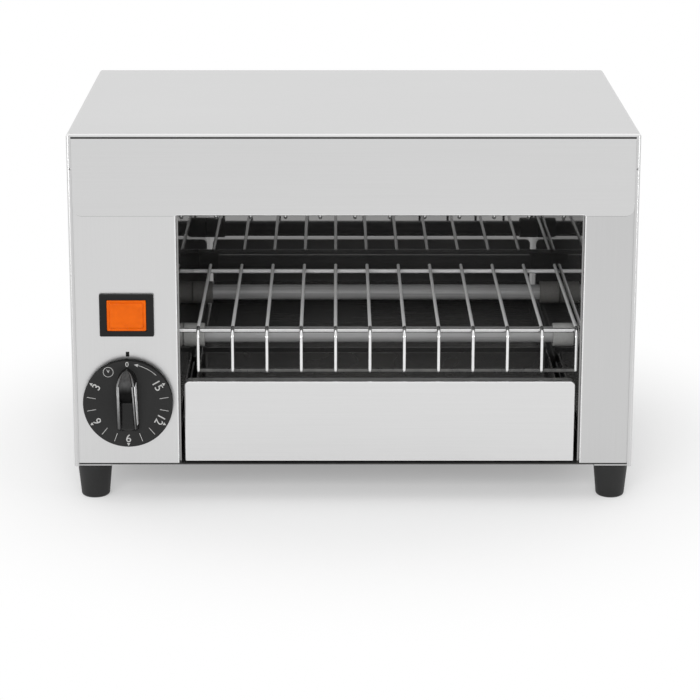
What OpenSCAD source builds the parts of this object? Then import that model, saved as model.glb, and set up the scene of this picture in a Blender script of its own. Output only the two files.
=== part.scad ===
// Counter-top salamander grill with quartz tubes above and below two wire guards.
// X runs to the right, Y to the back and Z up. The origin is on the floor, under the middle of the part.
// Depths below are measured from the front faces of the two posts, and y_shift centres the part.

/* [Front] */
// Width of the control post, from the casing side to the opening
control_w = 71; // [66:1:90]
// Width of the opening between the posts
opening_w = 268.5; // [200:0.5:330]
// Width of the right post, from the opening to the casing side
pillar_w = 35.5; // [28:0.5:60]
// Height of the header plate
header_h = 51; // [44:0.5:70]
// Thickness of the header plate
header_t = 1; // [0.8:0.1:1.5]
// Radius of the header plate's lower corners
header_corner_r = 5.5; // [2:0.5:8]
// Depth of the fold along the header's lower edge
header_fold = 6; // [4:0.5:6.5]
// Outer radius of the folds along the posts and the header
fold_r = 1.5; // [1.2:0.1:2]
// Depth of the posts' folds beside the opening
post_inner_fold = 12; // [8:0.5:14]
// Depth of the posts' folds beside the casing
post_outer_fold = 18; // [10:1:24]

/* [Casing] */
// Thickness of the outer sheet steel
sheet_t = 1; // [0.8:0.1:1.1]
// Outer radius of the casing's rounded edges
casing_r = 2.5; // [1.8:0.1:3]
// How far the casing's front edge stands in front of the posts
casing_proud = 1; // [0.6:0.1:2]
// Width of the rolled front edge at the sides
side_lip = 3.2; // [3.2:0.1:5]
// Height of the rolled front edge at the top
top_lip = 2.2; // [1.6:0.1:4]
// Gap between the rolled edge and the header plate above it
header_gap = 1.8; // [1:0.1:4]
// Gap between the rolled edge and the ends of the header plate
lip_gap = 0.4; // [0.3:0.1:1]
// Width of the flange that the back panel is screwed to
rear_flange = 12; // [10:1:18]
// Width of the flanges under the casing sides
bottom_flange = 25; // [24:1:30]
// Height of the small notch in the rolled edge
notch_h = 1.2; // [0.8:0.1:2]
// Drop of that notch below the top
notch_drop = 23.5; // [15:0.5:40]

/* [Base] */
// Height of the base pan's upturned edges
pan_edge_h = 15; // [12:1:20]
// Length of the air slots
slot_l = 40; // [20:1:60]
// Width of the air slots
slot_w = 4; // [3:0.5:6]
// Distance from one air slot to the next
slot_pitch = 11; // [8:0.5:16]

/* [Grill space] */
// Thickness of the polished lining
liner_t = 1; // [0.8:0.1:1.2]
// Width of the lining's outward flanges
liner_flange = 8; // [6:0.5:10]
// Distance of the lining's front edge behind the post faces
liner_setback = 3; // [2:0.5:5]
// Space over the upper guard's apron
roof_gap = 7; // [4:0.5:10]
// Space behind the guards' wires
guard_back_gap = 21; // [8:1:30]
// Depth of the air space behind the rear reflector
rear_space = 33; // [26:1:50]

/* [Guards] */
// Diameter of the guard wires
wire_d = 2.4; // [1.8:0.1:3]
// Diameter of the cross rails
rail_d = 3; // [2.4:0.1:3.6]
// Distance from one guard wire to the next
wire_pitch = 23; // [16:0.5:30]
// Distance from the last wire to the side wall
wire_end_gap = 1.7; // [1.7:0.1:6]
// Least distance from the first wire to the other wall
wire_start_gap = 9; // [5:0.5:12]
// Distance of the aprons behind the post faces
apron_setback = 9; // [8.5:0.5:14]
// Height of the aprons, from the wires to their free ends
apron_h = 30.4; // [26:0.2:40]
// Bend radius of the wires, at their middle
wire_bend_r = 6; // [4:0.5:8]
// Distance from the front rail to the back rail
rail_span = 158.5; // [140:0.5:190]
// Length of the wires behind the back rail
wire_tail = 9; // [4:0.5:20]
// Distance between the two guards' wires
grill_gap = 75.8; // [50:0.2:110]
// How deep wires and rails are welded into each other
weld_depth = 0.3; // [0.2:0.05:0.5]
// How far a rail end reaches into the wall
rail_reach = 3; // [2:0.5:6]
// How far the short rails reach past the outermost wires
rail_end = 0.8; // [0.4:0.1:1.4]

/* [Heating tubes] */
// Outer diameter of the quartz tubes
tube_d = 11; // [9:0.5:12]
// Wall of the quartz tubes
tube_wall = 1; // [0.8:0.1:1.5]
// Depth of the front tubes behind the post faces
front_tube_y = 48; // [34:1:80]
// Depth of the rear tubes behind the post faces
rear_tube_y = 160; // [120:1:165]
// Distance from the guard wires to the tubes' middle
tube_drop = 14.3; // [13:0.1:20]
// Diameter of the ceramic end caps
cap_d = 16; // [14:0.5:17]
// Length of the end caps inside the grill space
cap_l = 14.5; // [12:0.5:20]
// Depth of the tube's seat in its cap
tube_seat = 10; // [6:0.5:10]
// Diameter of the cap's neck through the wall
neck_d = 10; // [8:0.5:12]
// Length of the neck outside the wall
neck_l = 5; // [3:0.5:8]
// Diameter of the heating coil
coil_d = 7.6; // [6:0.2:8]
// Diameter of the connection studs
stud_d = 4; // [3:0.5:5]
// Length of the studs outside the cap's neck
stud_l = 9; // [7:0.5:12]

/* [Crumb tray] */
// Height of the tray's front plate
tray_front_h = 55.5; // [40:0.5:70]
// Gap between the tray front and the posts
tray_side_gap = 3.5; // [2:0.5:6]
// Gap between the tray front and the base pan
tray_under_gap = 1.6; // [1.6:0.1:3]
// Gap between the tray front and the guard above it
tray_over_gap = 3.2; // [2:0.2:8]
// Distance of the tray front behind the post faces
tray_setback = 0.5; // [0:0.1:2]
// Radius of the tray front's top corners
tray_corner_r = 4; // [2:0.5:8]
// Outer radius of the folds round the tray front
tray_fold_r = 1.5; // [1.2:0.1:2]
// Depth of the rim folded back round the tray front
tray_rim = 9; // [5:0.5:12]
// Thickness of the tray's sheet
tray_t = 1; // [0.8:0.1:1.2]
// Height of the tray pan's walls
tray_pan_h = 18; // [12:1:30]
// Gap between the tray pan and the rear reflector
tray_back_gap = 6; // [3:0.5:12]
// Radius of the tray pan's rear corners
tray_pan_r = 5; // [3:0.5:10]
// Width of the runners under the tray
runner_w = 14; // [10:1:20]
// Height of the runners beside the tray
runner_h = 12; // [8:1:16]

/* [Timer] */
// Diameter of the dial disc
knob_d = 60; // [48:1:64]
// Height of the knob's axis above the underside of the base
knob_rise = 45.5; // [38:0.5:60]
// Thickness of the dial disc
knob_t = 5; // [4:0.5:10]
// Gap between the disc and the panel
knob_gap = 1.2; // [0.8:0.1:2]
// Radius round the disc's front edge
knob_rim_r = 1.2; // [0.5:0.1:2]
// Wall of the disc's hollow back
knob_wall = 2.5; // [2:0.5:3]
// Height of the grip in front of the disc, at its shoulders
grip_h = 16; // [12:0.5:20]
// Height of the grip at its pointed end
grip_tip_h = 6; // [3:0.5:9]
// Height of the grip at its blunt end
grip_tail_h = 4; // [2:0.5:8]
// Distance from the axis to the grip's pointed end
grip_tip = 22.5; // [18:0.5:23]
// Distance from the axis to the grip's blunt end
grip_tail = 20; // [14:0.5:22]
// Distance from the axis up to the grip's shoulders
grip_shoulder_z = 13.5; // [10:0.5:15]
// Width of the grip at its shoulders
grip_shoulder_w = 12.8; // [10:0.2:14]
// Width of the grip at its blunt end
grip_tail_w = 14.8; // [11:0.2:16]
// Bevel on the blunt end's corners
grip_bevel = 1.8; // [0.6:0.2:3]
// Width of the groove along the grip's face
groove_w = 7.4; // [4:0.2:8]
// Height of the groove's floor over the axis
groove_h = 6.5; // [6:0.5:10.5]
// Distance from the grip's shoulders down to the groove's upper end
groove_start = 1.5; // [1:0.5:4]
// Depth of the groove at the grip's blunt end
groove_end_depth = 1; // [0.5:0.25:1.5]
// Diameter of the timer's shaft
shaft_d = 6; // [5:0.5:7]
// Depth of the flat on the shaft
shaft_flat = 1.2; // [0.8:0.1:1.5]
// Diameter of the knob's hub
hub_d = 14; // [11:0.5:18]
// Length of the shaft inside the knob
shaft_in_knob = 8.5; // [6:0.5:9]
// Diameter of the holes that the shaft passes through
shaft_hole_d = 10; // [8:0.5:12]
// Width and height of the timer's case
timer_w = 42; // [38:1:46]
// Radius of the timer case's corners
timer_case_r = 4; // [2:0.5:6]
// Depth of the timer's case
timer_d = 26; // [20:1:40]
// Thickness of the timer's mounting plate
timer_plate_t = 1.2; // [1:0.1:2]
// Height of the timer's mounting plate
timer_plate_h = 34; // [26:1:38]
// How far the mounting plate reaches past the case on each side
timer_plate_over = 1; // [0:0.5:3]
// Depth of the timer's shaft inside its case
shaft_in_case = 13; // [8:0.5:18]
// Distance between the timer's connection tabs
timer_tab_pitch = 10.5; // [8:0.5:14]
// Distance of the fixing screws from the axis
timer_screw_r = 16; // [14:0.5:17]

/* [Pilot lamp] */
// Width of the lamp's bezel
bezel_w = 36; // [32:0.5:42]
// Height of the lamp's bezel
bezel_h = 29; // [26:0.5:36]
// Thickness of the bezel in front of the panel
bezel_t = 2.5; // [1.5:0.1:4]
// Radius of the bezel's corners
bezel_r = 1; // [0.5:0.1:2]
// Bevel round the bezel's front edge
bezel_bevel = 0.6; // [0.3:0.1:1]
// Width of the lens
lens_w = 26; // [20:0.5:27]
// Height of the lens
lens_h = 21; // [16:0.5:21]
// How far the lens stands in front of the bezel
lens_proud = 0.8; // [0:0.1:2]
// Radius of the lens's corners
lens_r = 1; // [0.5:0.1:2]
// Bevel round the lens's face
lens_bevel = 1.2; // [0.5:0.1:1.6]
// Height of the lamp's middle above the underside of the base
lamp_rise = 105.6; // [98:0.2:140]
// Depth of the lamp's body behind the panel
lamp_body_d = 26; // [18:1:36]
// Wall of the lamp's neck round the lens
lamp_neck_wall = 1.8; // [1.2:0.1:2.5]
// Length of the lens and its neck behind the panel
lamp_neck_l = 13; // [8:0.5:16]
// Distance between the lamp's connection tabs
lamp_tab_pitch = 13; // [8:0.5:18]

/* [Feet] */
// Height of the feet
foot_h = 25; // [15:1:40]
// Diameter of the feet at the casing
foot_top_d = 23.5; // [20:0.5:24]
// Diameter of the feet at the floor
foot_floor_d = 19.3; // [16:0.1:22]
// Radius of the feet's lower edge
foot_edge_r = 2; // [1:0.5:3]
// Distance of the feet from the casing sides
foot_inset = 12.5; // [12.5:0.5:16]
// Distance of the feet from the post faces and from the back
foot_inset_y = 15; // [14:0.5:30]
// Diameter of the recess for the screw's head
foot_recess_d = 11; // [10.5:0.5:12]
// Depth of the recess for the screw's head
foot_recess_h = 11; // [6:0.5:12]

/* [Back] */
// Diameter of the cable gland's bore
gland_bore = 8.6; // [6:0.1:10]
// Diameter of the gland's thread
gland_thread_d = 15.8; // [14:0.1:18]
// Width of the gland's hexagon across its flats
gland_hex = 22; // [20:0.5:26]
// Thickness of the gland's hexagon
gland_hex_t = 5; // [4:0.5:8]
// Diameter of the gland's cap
gland_cap_d = 21; // [19:0.5:22]
// Length of the gland's cap, up to its taper
gland_cap_l = 6.5; // [4:0.5:10]
// Length of the cap's taper
gland_taper_l = 6.5; // [4:0.5:10]
// Diameter of the cap at its mouth
gland_mouth_d = 14.8; // [12:0.1:18]
// Length of the gland's thread inside the back panel
gland_thread_l = 10; // [8:0.5:16]
// Height of the gland above the underside of the base
gland_rise = 42; // [36:1:80]

/* [Fasteners and clearances] */
// Diameter of the small panel screws
screw_d = 3.4; // [3:0.1:4]
// Diameter of the panel screws' heads
screw_head_d = 7; // [6:0.2:8]
// Height of the panel screws' heads
screw_head_h = 2; // [1.6:0.1:2.6]
// Diameter of the foot screws
foot_screw_d = 4.8; // [4:0.1:5.5]
// Clearance round a screw, stud or neck in its hole
hole_gap = 0.2; // [0.1:0.05:0.3]
// Clearance under and beside sliding sheet
slide_gap = 0.3; // [0.2:0.05:0.5]
// Clearance round a rotating shaft
shaft_gap = 0.15; // [0.1:0.05:0.3]
// Clearance between a plugged part and its seat
seat_gap = 0.3; // [0.2:0.05:0.4]

/* [Hidden] */
$fn = 64;
past = 1; // how far a cut runs past the face that it opens

// Widths, from left to right
body_w = control_w + opening_w + pillar_w;
side_x = body_w / 2;
open_x0 = -side_x + control_w;
open_x1 = open_x0 + opening_w;
wall_x0 = open_x0 + liner_t;
wall_x1 = open_x1 - liner_t;
face_x = side_x - side_lip - lip_gap;
inner_x = side_x - sheet_t;
post_x = inner_x - seat_gap;
post_edge_r = max(fold_r, casing_r - sheet_t);
control_x = (open_x0 - face_x) / 2;
cavity_mid_x = (wall_x0 + wall_x1) / 2;

// Heights, from the floor up
base_z = foot_h;
pan_z = base_z + sheet_t;
floor_z = pan_z + sheet_t;
tray_z = floor_z + sheet_t + slide_gap;
tray_front_z = floor_z + tray_under_gap;
tray_top_z = tray_front_z + tray_front_h;
apron_z = tray_top_z + tray_over_gap;
wire_z = apron_z + apron_h;
upper_wire_z = wire_z + grill_gap;
header_z = upper_wire_z + wire_d / 2 + slide_gap + rail_d;
header_top_z = header_z + header_h;
top_z = header_top_z + header_gap + top_lip;
roof_z = upper_wire_z + apron_h + roof_gap;
guard_mid_z = (wire_z + upper_wire_z) / 2;
tube_z = wire_z - tube_drop;
knob_z = base_z + knob_rise;
lamp_z = base_z + lamp_rise;
gland_z = base_z + gland_rise;
post_z = floor_z + hole_gap;

// Depths, from the front to the back
front_rail_y = apron_setback + wire_bend_r + rail_d / 2;
back_rail_y = front_rail_y + rail_span;
wire_end_y = back_rail_y + wire_tail;
reflector_y = wire_end_y + guard_back_gap;
body_d = reflector_y + liner_t + rear_space + sheet_t;
casing_y0 = -casing_proud;
casing_y1 = body_d - sheet_t;
tray_back_y = tray_setback + tray_t;
tray_end_y = reflector_y - tray_back_gap;
runner_y = tray_setback + tray_rim + past;
gland_reach = gland_hex_t + gland_cap_l + gland_taper_l;
knob_back_y = -knob_gap;
knob_face_y = knob_back_y - knob_t;
grip_front_y = knob_face_y - grip_h;
shaft_front_y = knob_back_y - shaft_in_knob;
timer_y = sheet_t + timer_plate_t;
y_shift = -(body_d + gland_reach + grip_front_y) / 2;

// Guard
wire_room = wall_x1 - wall_x0 - wire_end_gap - wire_start_gap;
wire_n = floor(wire_room / wire_pitch) + 1;
wire_last_x = wall_x1 - wire_end_gap;
wire_first_x = wire_last_x - (wire_n - 1) * wire_pitch;
rail_z = wire_z - wire_d / 2 - rail_d / 2 + weld_depth;
apron_rail_y = apron_setback + wire_d / 2 + rail_d / 2 - weld_depth;
apron_rail_z = apron_z + rail_d / 2;
rail_hole_d = rail_d + 2 * seat_gap;

// Heating tubes
tube_seat_x = cap_l - tube_seat;
neck_hole_d = neck_d + 2 * hole_gap;
strap_t = 1.2;
stud_nut_h = 3.2;
stud_nut_af = 7;
lug_w = 6.3;
lug_l = 14;
upper_tube_z = 2 * guard_mid_z - tube_z;

// Crumb tray
tray_x0 = open_x0 + tray_side_gap;
tray_x1 = open_x1 - tray_side_gap;
pan_x0 = tray_x0 + tray_t;
pan_x1 = tray_x1 - tray_t;
tray_wall_gap = 0.6;

// Feet, fasteners and slots
foot_spots = [for (x = [-1, 1], y = [foot_inset_y, body_d - foot_inset_y]) [x * (side_x - foot_inset), y]];
foot_hole_d = foot_screw_d + 2 * hole_gap;
foot_head_h = 3;
foot_nut_h = 4;
foot_nut_af = 8;
screw_hole_d = screw_d + 2 * hole_gap;
screw_l = 5;
back_screw_in = rear_flange / 2;
back_spots = concat(
    [for (x = [-1, 0, 1], z = [base_z + back_screw_in, top_z - back_screw_in]) [x * (side_x - back_screw_in), z]],
    [for (x = [-1, 1]) [x * (side_x - back_screw_in), (base_z + top_z) / 2]]);
vent_n = 9;
vent_l = 51;
vent_spread = 40;
pan_slot_rows = 2;
pan_slot_x = (open_x0 - liner_flange - side_x + bottom_flange) / 2;
tab_w = 6.3;
tab_t = 0.8;
tab_l = 8;
block_l = 18;
block_y = casing_y1 - rear_space - block_l;
earth_gap = 12;

// Extrusions along each axis: across the width, the depth and the height
module along_x(x0, x1) {
    translate([x0, 0, 0]) rotate([90, 0, 90]) linear_extrude(x1 - x0) children();
}
module along_y(y0, y1) {
    translate([0, y1, 0]) rotate([90, 0, 0]) linear_extrude(y1 - y0) children();
}
module along_z(z0, z1) {
    translate([0, 0, z0]) linear_extrude(z1 - z0) children();
}

// Moves the finished pieces so that the part's box is centred on the origin
module placed() {
    translate([0, y_shift, 0]) children();
}

// Rectangle from (x0, y0) to (x1, y1), with a radius for each corner that is rounded
module plate_2d(x0, y0, x1, y1, bl = 0, br = 0, tr = 0, tl = 0) {
    corners = [[x0, y0, 1, 1, bl], [x1, y0, -1, 1, br], [x1, y1, -1, -1, tr], [x0, y1, 1, -1, tl]];
    difference() {
        translate([x0, y0]) square([x1 - x0, y1 - y0]);
        for (c = corners) if (c[4] > 0) {
            difference() {
                translate([c[0] + c[2] * c[4] / 2, c[1] + c[3] * c[4] / 2]) square(c[4], center = true);
                translate([c[0] + c[2] * c[4], c[1] + c[3] * c[4]]) circle(c[4]);
            }
        }
    }
}

// Slot with round ends, centred, along the first axis
module slot_2d(l, w) {
    square([l - w, w], center = true);
    for (s = [-1, 1]) translate([s * (l - w) / 2, 0]) circle(d = w);
}

// Hexagon of a nut, measured across its flats
module hexagon_2d(af) {
    circle(d = af / cos(30), $fn = 6);
}

// Round bar along X, from x0 to x1
module bar_x(x0, x1, y, z, d) {
    translate([x0, y, z]) rotate([0, 90, 0]) cylinder(h = x1 - x0, d = d);
}

// Round bar along Y, from y0 to y1
module bar_y(y0, y1, x, z, d) {
    translate([x, y0, z]) rotate([-90, 0, 0]) cylinder(h = y1 - y0, d = d);
}

// Casing, drawn in from its outside by a wall
module casing_block(wall) {
    x = side_x - wall;
    y0 = casing_y0 + wall;
    y1 = casing_y1 - wall;
    z0 = base_z + wall;
    z1 = top_z - wall;
    r = casing_r - wall;
    intersection() {
        along_y(y0, y1) plate_2d(-x, z0, x, z1, tr = r, tl = r);
        along_z(z0, z1) plate_2d(-x, y0, x, y1, bl = r, br = r);
        along_x(-x, x) plate_2d(y0, z0, y1, z1, tl = r);
    }
}

// Folded sheet round the top and both sides, open at the front, the back and below
module outer_casing() color("gainsboro") placed() difference() {
    casing_block(0);
    casing_block(sheet_t);
    along_y(casing_y0 - past, casing_y0 + sheet_t + past)
        plate_2d(-side_x + side_lip, 0, side_x - side_lip, top_z - top_lip);
    along_y(casing_y1 - sheet_t - past, casing_y1 + past)
        plate_2d(-side_x + rear_flange, base_z + rear_flange, side_x - rear_flange, top_z - rear_flange);
    along_z(base_z - past, pan_z + slide_gap)
        plate_2d(-side_x + bottom_flange, casing_y0 - past, side_x - bottom_flange, casing_y1 - sheet_t);
    for (s = [-1, 1]) translate([s * (side_x - side_lip), 0, top_z - notch_drop])
        cube([side_lip, 2 * (casing_proud + past), notch_h], center = true);
    for (p = foot_spots) translate([p[0], p[1], base_z - past]) cylinder(h = sheet_t + 2 * past, d = foot_hole_d);
    for (p = back_spots) bar_y(casing_y1 - sheet_t - past, casing_y1 + past, p[0], p[1], screw_hole_d);
}

// Floor of the body with its edges turned up, carried by the casing's bottom flanges
module base_pan() color("silver") placed() difference() {
    union() {
        along_z(pan_z, floor_z) {
            plate_2d(-face_x, slide_gap, face_x, casing_y1 - sheet_t);
            plate_2d(-inner_x, casing_r, inner_x, casing_y1 - sheet_t);
        }
        for (s = [-1, 1]) along_z(floor_z - weld_depth, pan_z + pan_edge_h)
            plate_2d(s < 0 ? -inner_x : inner_x - sheet_t, post_outer_fold + past,
                     s < 0 ? -inner_x + sheet_t : inner_x, casing_y1 - rear_flange);
        along_z(floor_z - weld_depth, pan_z + pan_edge_h) {
            plate_2d(-side_x + bottom_flange, casing_y1 - 2 * sheet_t, side_x - bottom_flange, casing_y1 - sheet_t);
            plate_2d(-face_x + fold_r + seat_gap, sheet_t, open_x0 - fold_r - seat_gap, 2 * sheet_t);
            plate_2d(open_x1 + fold_r + seat_gap, sheet_t, face_x - fold_r - seat_gap, 2 * sheet_t);
        }
    }
    for (p = foot_spots) translate([p[0], p[1], pan_z - past]) cylinder(h = sheet_t + 2 * past, d = foot_hole_d);
    for (p = back_spots) bar_y(casing_y1 - 2 * sheet_t - past, casing_y1, p[0], p[1], screw_hole_d);
    for (i = [-1:1], row = [0:pan_slot_rows - 1]) along_z(pan_z - past, floor_z + past)
        translate([pan_slot_x + i * slot_pitch, body_d / 2 + (row - 1) * (slot_l + slot_pitch)])
            rotate(90) slot_2d(slot_l, slot_w);
}

// Front post: a sheet with a window side and a casing side folded back
module post_2d(x0, x1, left_fold, right_fold, left_r, right_r) {
    deep = max(left_fold, right_fold);
    difference() {
        plate_2d(x0, 0, x1, deep, bl = left_r, br = right_r);
        plate_2d(x0 + sheet_t, sheet_t, x1 - sheet_t, deep + past, bl = left_r - sheet_t, br = right_r - sheet_t);
        translate([x0 - past, left_fold]) square([sheet_t + 2 * past, deep]);
        translate([x1 - sheet_t - past, right_fold]) square([sheet_t + 2 * past, deep]);
    }
}

// Left post, lapped by the casing's rolled edge, with the lamp's window and the holes for the timer
module control_panel() color("gainsboro") placed() difference() {
    along_z(post_z, header_top_z) post_2d(-post_x, open_x0, post_outer_fold, post_inner_fold, post_edge_r, fold_r);
    along_y(-past, sheet_t + past) plate_2d(
        control_x - lens_w / 2 - lamp_neck_wall - seat_gap, lamp_z - lens_h / 2 - lamp_neck_wall - seat_gap,
        control_x + lens_w / 2 + lamp_neck_wall + seat_gap, lamp_z + lens_h / 2 + lamp_neck_wall + seat_gap);
    bar_y(-past, sheet_t + past, control_x, knob_z, shaft_hole_d);
    for (s = [-1, 1]) bar_y(-past, sheet_t + past, control_x + s * timer_screw_r, knob_z, screw_hole_d);
}

// Right post, plain
module right_pillar() color("gainsboro") placed()
    along_z(post_z, header_top_z)
        post_2d(open_x1, post_x, post_inner_fold, post_outer_fold, fold_r, post_edge_r);

// Plate over the opening, in front of both posts, with its lower edge folded in between them
module header_panel() color("gainsboro") placed() {
    fold_x0 = open_x0 + seat_gap;
    fold_x1 = open_x1 - seat_gap;
    along_y(-header_t, 0) {
        plate_2d(-face_x, header_z, fold_x0, header_top_z, bl = header_corner_r);
        plate_2d(fold_x1, header_z, face_x, header_top_z, br = header_corner_r);
    }
    along_x(fold_x0, fold_x1) difference() {
        plate_2d(-header_t, header_z, header_fold - header_t, header_top_z, bl = fold_r);
        plate_2d(0, header_z + header_t, header_fold, header_top_z + past, bl = max(fold_r - header_t, 0));
    }
}

// Flat plate with two blocks of air slots, the gland's hole and the screw holes
module back_panel() color("silver") placed() difference() {
    along_y(casing_y1, body_d) plate_2d(-side_x, base_z, side_x, top_z, tr = casing_r, tl = casing_r);
    for (i = [0:vent_n - 1], s = [-1, 1]) along_y(casing_y1 - past, body_d + past)
        translate([cavity_mid_x + s * vent_spread, (guard_mid_z + top_z) / 2 + (i - vent_n + 1) * slot_pitch])
            slot_2d(vent_l, slot_w);
    bar_y(casing_y1 - past, body_d + past, control_x, gland_z, gland_thread_d + 2 * seat_gap);
    for (p = back_spots) bar_y(casing_y1 - past, body_d + past, p[0], p[1], screw_hole_d);
}

// Side wall of the grill space, with flanges turned away from it, and holes for necks and rails
module liner(wall_x, out, lower_rails, upper_rails) color("dimgray") placed() difference() {
    x0 = min(wall_x, wall_x + out * liner_t);
    x1 = max(wall_x, wall_x + out * liner_t);
    f0 = min(wall_x, wall_x + out * liner_flange);
    f1 = max(wall_x, wall_x + out * liner_flange);
    union() {
        along_y(liner_setback, reflector_y + liner_t) plate_2d(x0, floor_z, x1, roof_z);
        along_y(post_inner_fold + past, reflector_y + liner_t) {
            plate_2d(f0, floor_z, f1, floor_z + liner_t);
            plate_2d(f0, roof_z - liner_t, f1, roof_z);
        }
    }
    for (y = [front_tube_y, rear_tube_y], z = [tube_z, upper_tube_z])
        bar_x(x0 - past, x1 + past, y, z, neck_hole_d);
    for (y = lower_rails) bar_x(x0 - past, x1 + past, y, rail_z, rail_hole_d);
    for (y = upper_rails) bar_x(x0 - past, x1 + past, y, 2 * guard_mid_z - rail_z, rail_hole_d);
}
module left_liner() liner(wall_x0, -1, [front_rail_y, back_rail_y], [back_rail_y]);
module right_liner() liner(wall_x1, 1, [back_rail_y], [front_rail_y, back_rail_y]);

// Polished back wall of the grill space
module rear_reflector() color("dimgray") placed()
    along_y(reflector_y, reflector_y + liner_t) plate_2d(wall_x0, floor_z, wall_x1, roof_z);

// Polished roof over the upper tubes, with a lip behind the header
module roof_reflector() color("dimgray") placed() {
    along_z(roof_z, roof_z + liner_t)
        plate_2d(wall_x0 - liner_flange, post_inner_fold + past, wall_x1 + liner_flange, reflector_y + liner_t);
    along_x(wall_x0 + seat_gap, wall_x1 - seat_gap) {
        plate_2d(liner_setback, roof_z, post_inner_fold + 2 * past, roof_z + liner_t);
        plate_2d(liner_setback, roof_z - roof_gap / 2, liner_setback + liner_t, roof_z + liner_t);
    }
}

// One guard wire: a long run, a bend and the apron's upright
module guard_wire(x) {
    bend_y = apron_setback + wire_bend_r;
    bend_z = wire_z - wire_bend_r;
    bar_y(bend_y, wire_end_y, x, wire_z, wire_d);
    translate([x, bend_y, bend_z]) rotate([90, 0, -90])
        rotate_extrude(angle = 90) translate([wire_bend_r, 0]) circle(d = wire_d);
    translate([x, apron_setback, apron_z]) cylinder(h = bend_z - apron_z, d = wire_d);
}

// Welded guard: wires over two rails that rest in the walls, and a rail along the apron
module guard() {
    for (i = [0:wire_n - 1]) guard_wire(wire_first_x + i * wire_pitch);
    bar_x(wall_x0 - rail_reach, wire_last_x + rail_end, front_rail_y, rail_z, rail_d);
    bar_x(wall_x0 - rail_reach, wall_x1 + rail_reach, back_rail_y, rail_z, rail_d);
    bar_x(wire_first_x - rail_end, wire_last_x + rail_end, apron_rail_y, apron_rail_z, rail_d);
}
module lower_guard() color("lightgray") placed() guard();

// The same guard turned over, half a turn about the depth axis
module upper_guard() color("lightgray") placed()
    translate([2 * cavity_mid_x, 0, 2 * guard_mid_z]) rotate([0, 180, 0]) guard();

// Quartz tube between its two caps
module quartz_tube(y, z) color("whitesmoke") placed() difference() {
    bar_x(wall_x0 + tube_seat_x + hole_gap, wall_x1 - tube_seat_x - hole_gap, y, z, tube_d);
    bar_x(wall_x0, wall_x1, y, z, tube_d - 2 * tube_wall);
}

// Ceramic end cap with its neck through the wall, drawn for the left wall at x = 0
module end_cap() difference() {
    union() {
        rotate([0, 90, 0]) cylinder(h = cap_l, d = cap_d);
        translate([-liner_t - neck_l, 0, 0]) rotate([0, 90, 0]) cylinder(h = liner_t + neck_l + past, d = neck_d);
    }
    translate([tube_seat_x, 0, 0]) rotate([0, 90, 0]) cylinder(h = cap_l, d = tube_d + 2 * seat_gap);
    translate([-liner_t - neck_l - past, 0, 0]) rotate([0, 90, 0])
        cylinder(h = cap_l + liner_t + neck_l, d = stud_d + 2 * hole_gap);
}
module cap_pair(y, z) color("ivory") placed() {
    translate([wall_x0, y, z]) end_cap();
    translate([wall_x1, y, z]) mirror([1, 0, 0]) end_cap();
}

// Heating coil, as the plain cylinder that its turns fill inside the tube
module heating_coil(y, z) color("saddlebrown") placed()
    bar_x(wall_x0 + tube_seat_x + hole_gap, wall_x1 - tube_seat_x - hole_gap, y, z, coil_d);

module lower_front_tube() quartz_tube(front_tube_y, tube_z);
module lower_rear_tube() quartz_tube(rear_tube_y, tube_z);
module upper_front_tube() quartz_tube(front_tube_y, upper_tube_z);
module upper_rear_tube() quartz_tube(rear_tube_y, upper_tube_z);
module lower_front_caps() cap_pair(front_tube_y, tube_z);
module lower_rear_caps() cap_pair(rear_tube_y, tube_z);
module upper_front_caps() cap_pair(front_tube_y, upper_tube_z);
module upper_rear_caps() cap_pair(rear_tube_y, upper_tube_z);
module lower_front_coil() heating_coil(front_tube_y, tube_z);
module lower_rear_coil() heating_coil(rear_tube_y, tube_z);
module upper_front_coil() heating_coil(front_tube_y, upper_tube_z);
module upper_rear_coil() heating_coil(rear_tube_y, upper_tube_z);

// Repeats a piece at all eight tube ends, drawn for the left wall at x = 0
module at_tube_ends() placed() {
    for (y = [front_tube_y, rear_tube_y], z = [tube_z, upper_tube_z]) {
        translate([wall_x0, y, z]) children();
        translate([wall_x1, y, z]) mirror([1, 0, 0]) children();
    }
}

// Threaded studs from the coils out through the caps
module element_studs() color("silver") at_tube_ends()
    translate([-liner_t - neck_l - stud_l, 0, 0]) rotate([0, 90, 0])
        cylinder(h = liner_t + neck_l + stud_l + tube_seat_x + hole_gap, d = stud_d);

// Nuts on the studs, outside the straps and lugs
module stud_nuts() color("gold") at_tube_ends()
    translate([-liner_t - neck_l - strap_t - stud_nut_h, 0, 0]) rotate([0, 90, 0]) linear_extrude(stud_nut_h)
        difference() {
            hexagon_2d(stud_nut_af);
            circle(d = stud_d + 2 * hole_gap);
        }

// Straps that link the front and rear tubes behind the right wall
module link_straps() color("silver") placed()
    for (z = [tube_z, upper_tube_z]) along_x(wall_x1 + liner_t + neck_l, wall_x1 + liner_t + neck_l + strap_t)
        difference() {
            translate([(front_tube_y + rear_tube_y) / 2, z])
                slot_2d(rear_tube_y - front_tube_y + neck_d, neck_d);
            for (y = [front_tube_y, rear_tube_y]) translate([y, z]) circle(d = stud_d + 2 * hole_gap);
        }

// Push-on lugs under the nuts behind the left wall
module element_lugs() color("silver") placed()
    for (y = [front_tube_y, rear_tube_y], z = [tube_z, upper_tube_z])
        along_x(wall_x0 - liner_t - neck_l - strap_t, wall_x0 - liner_t - neck_l) translate([y, z]) difference() {
            union() {
                circle(d = neck_d);
                plate_2d(-lug_w / 2, -lug_l, lug_w / 2, 0);
            }
            circle(d = stud_d + 2 * hole_gap);
        }

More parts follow.
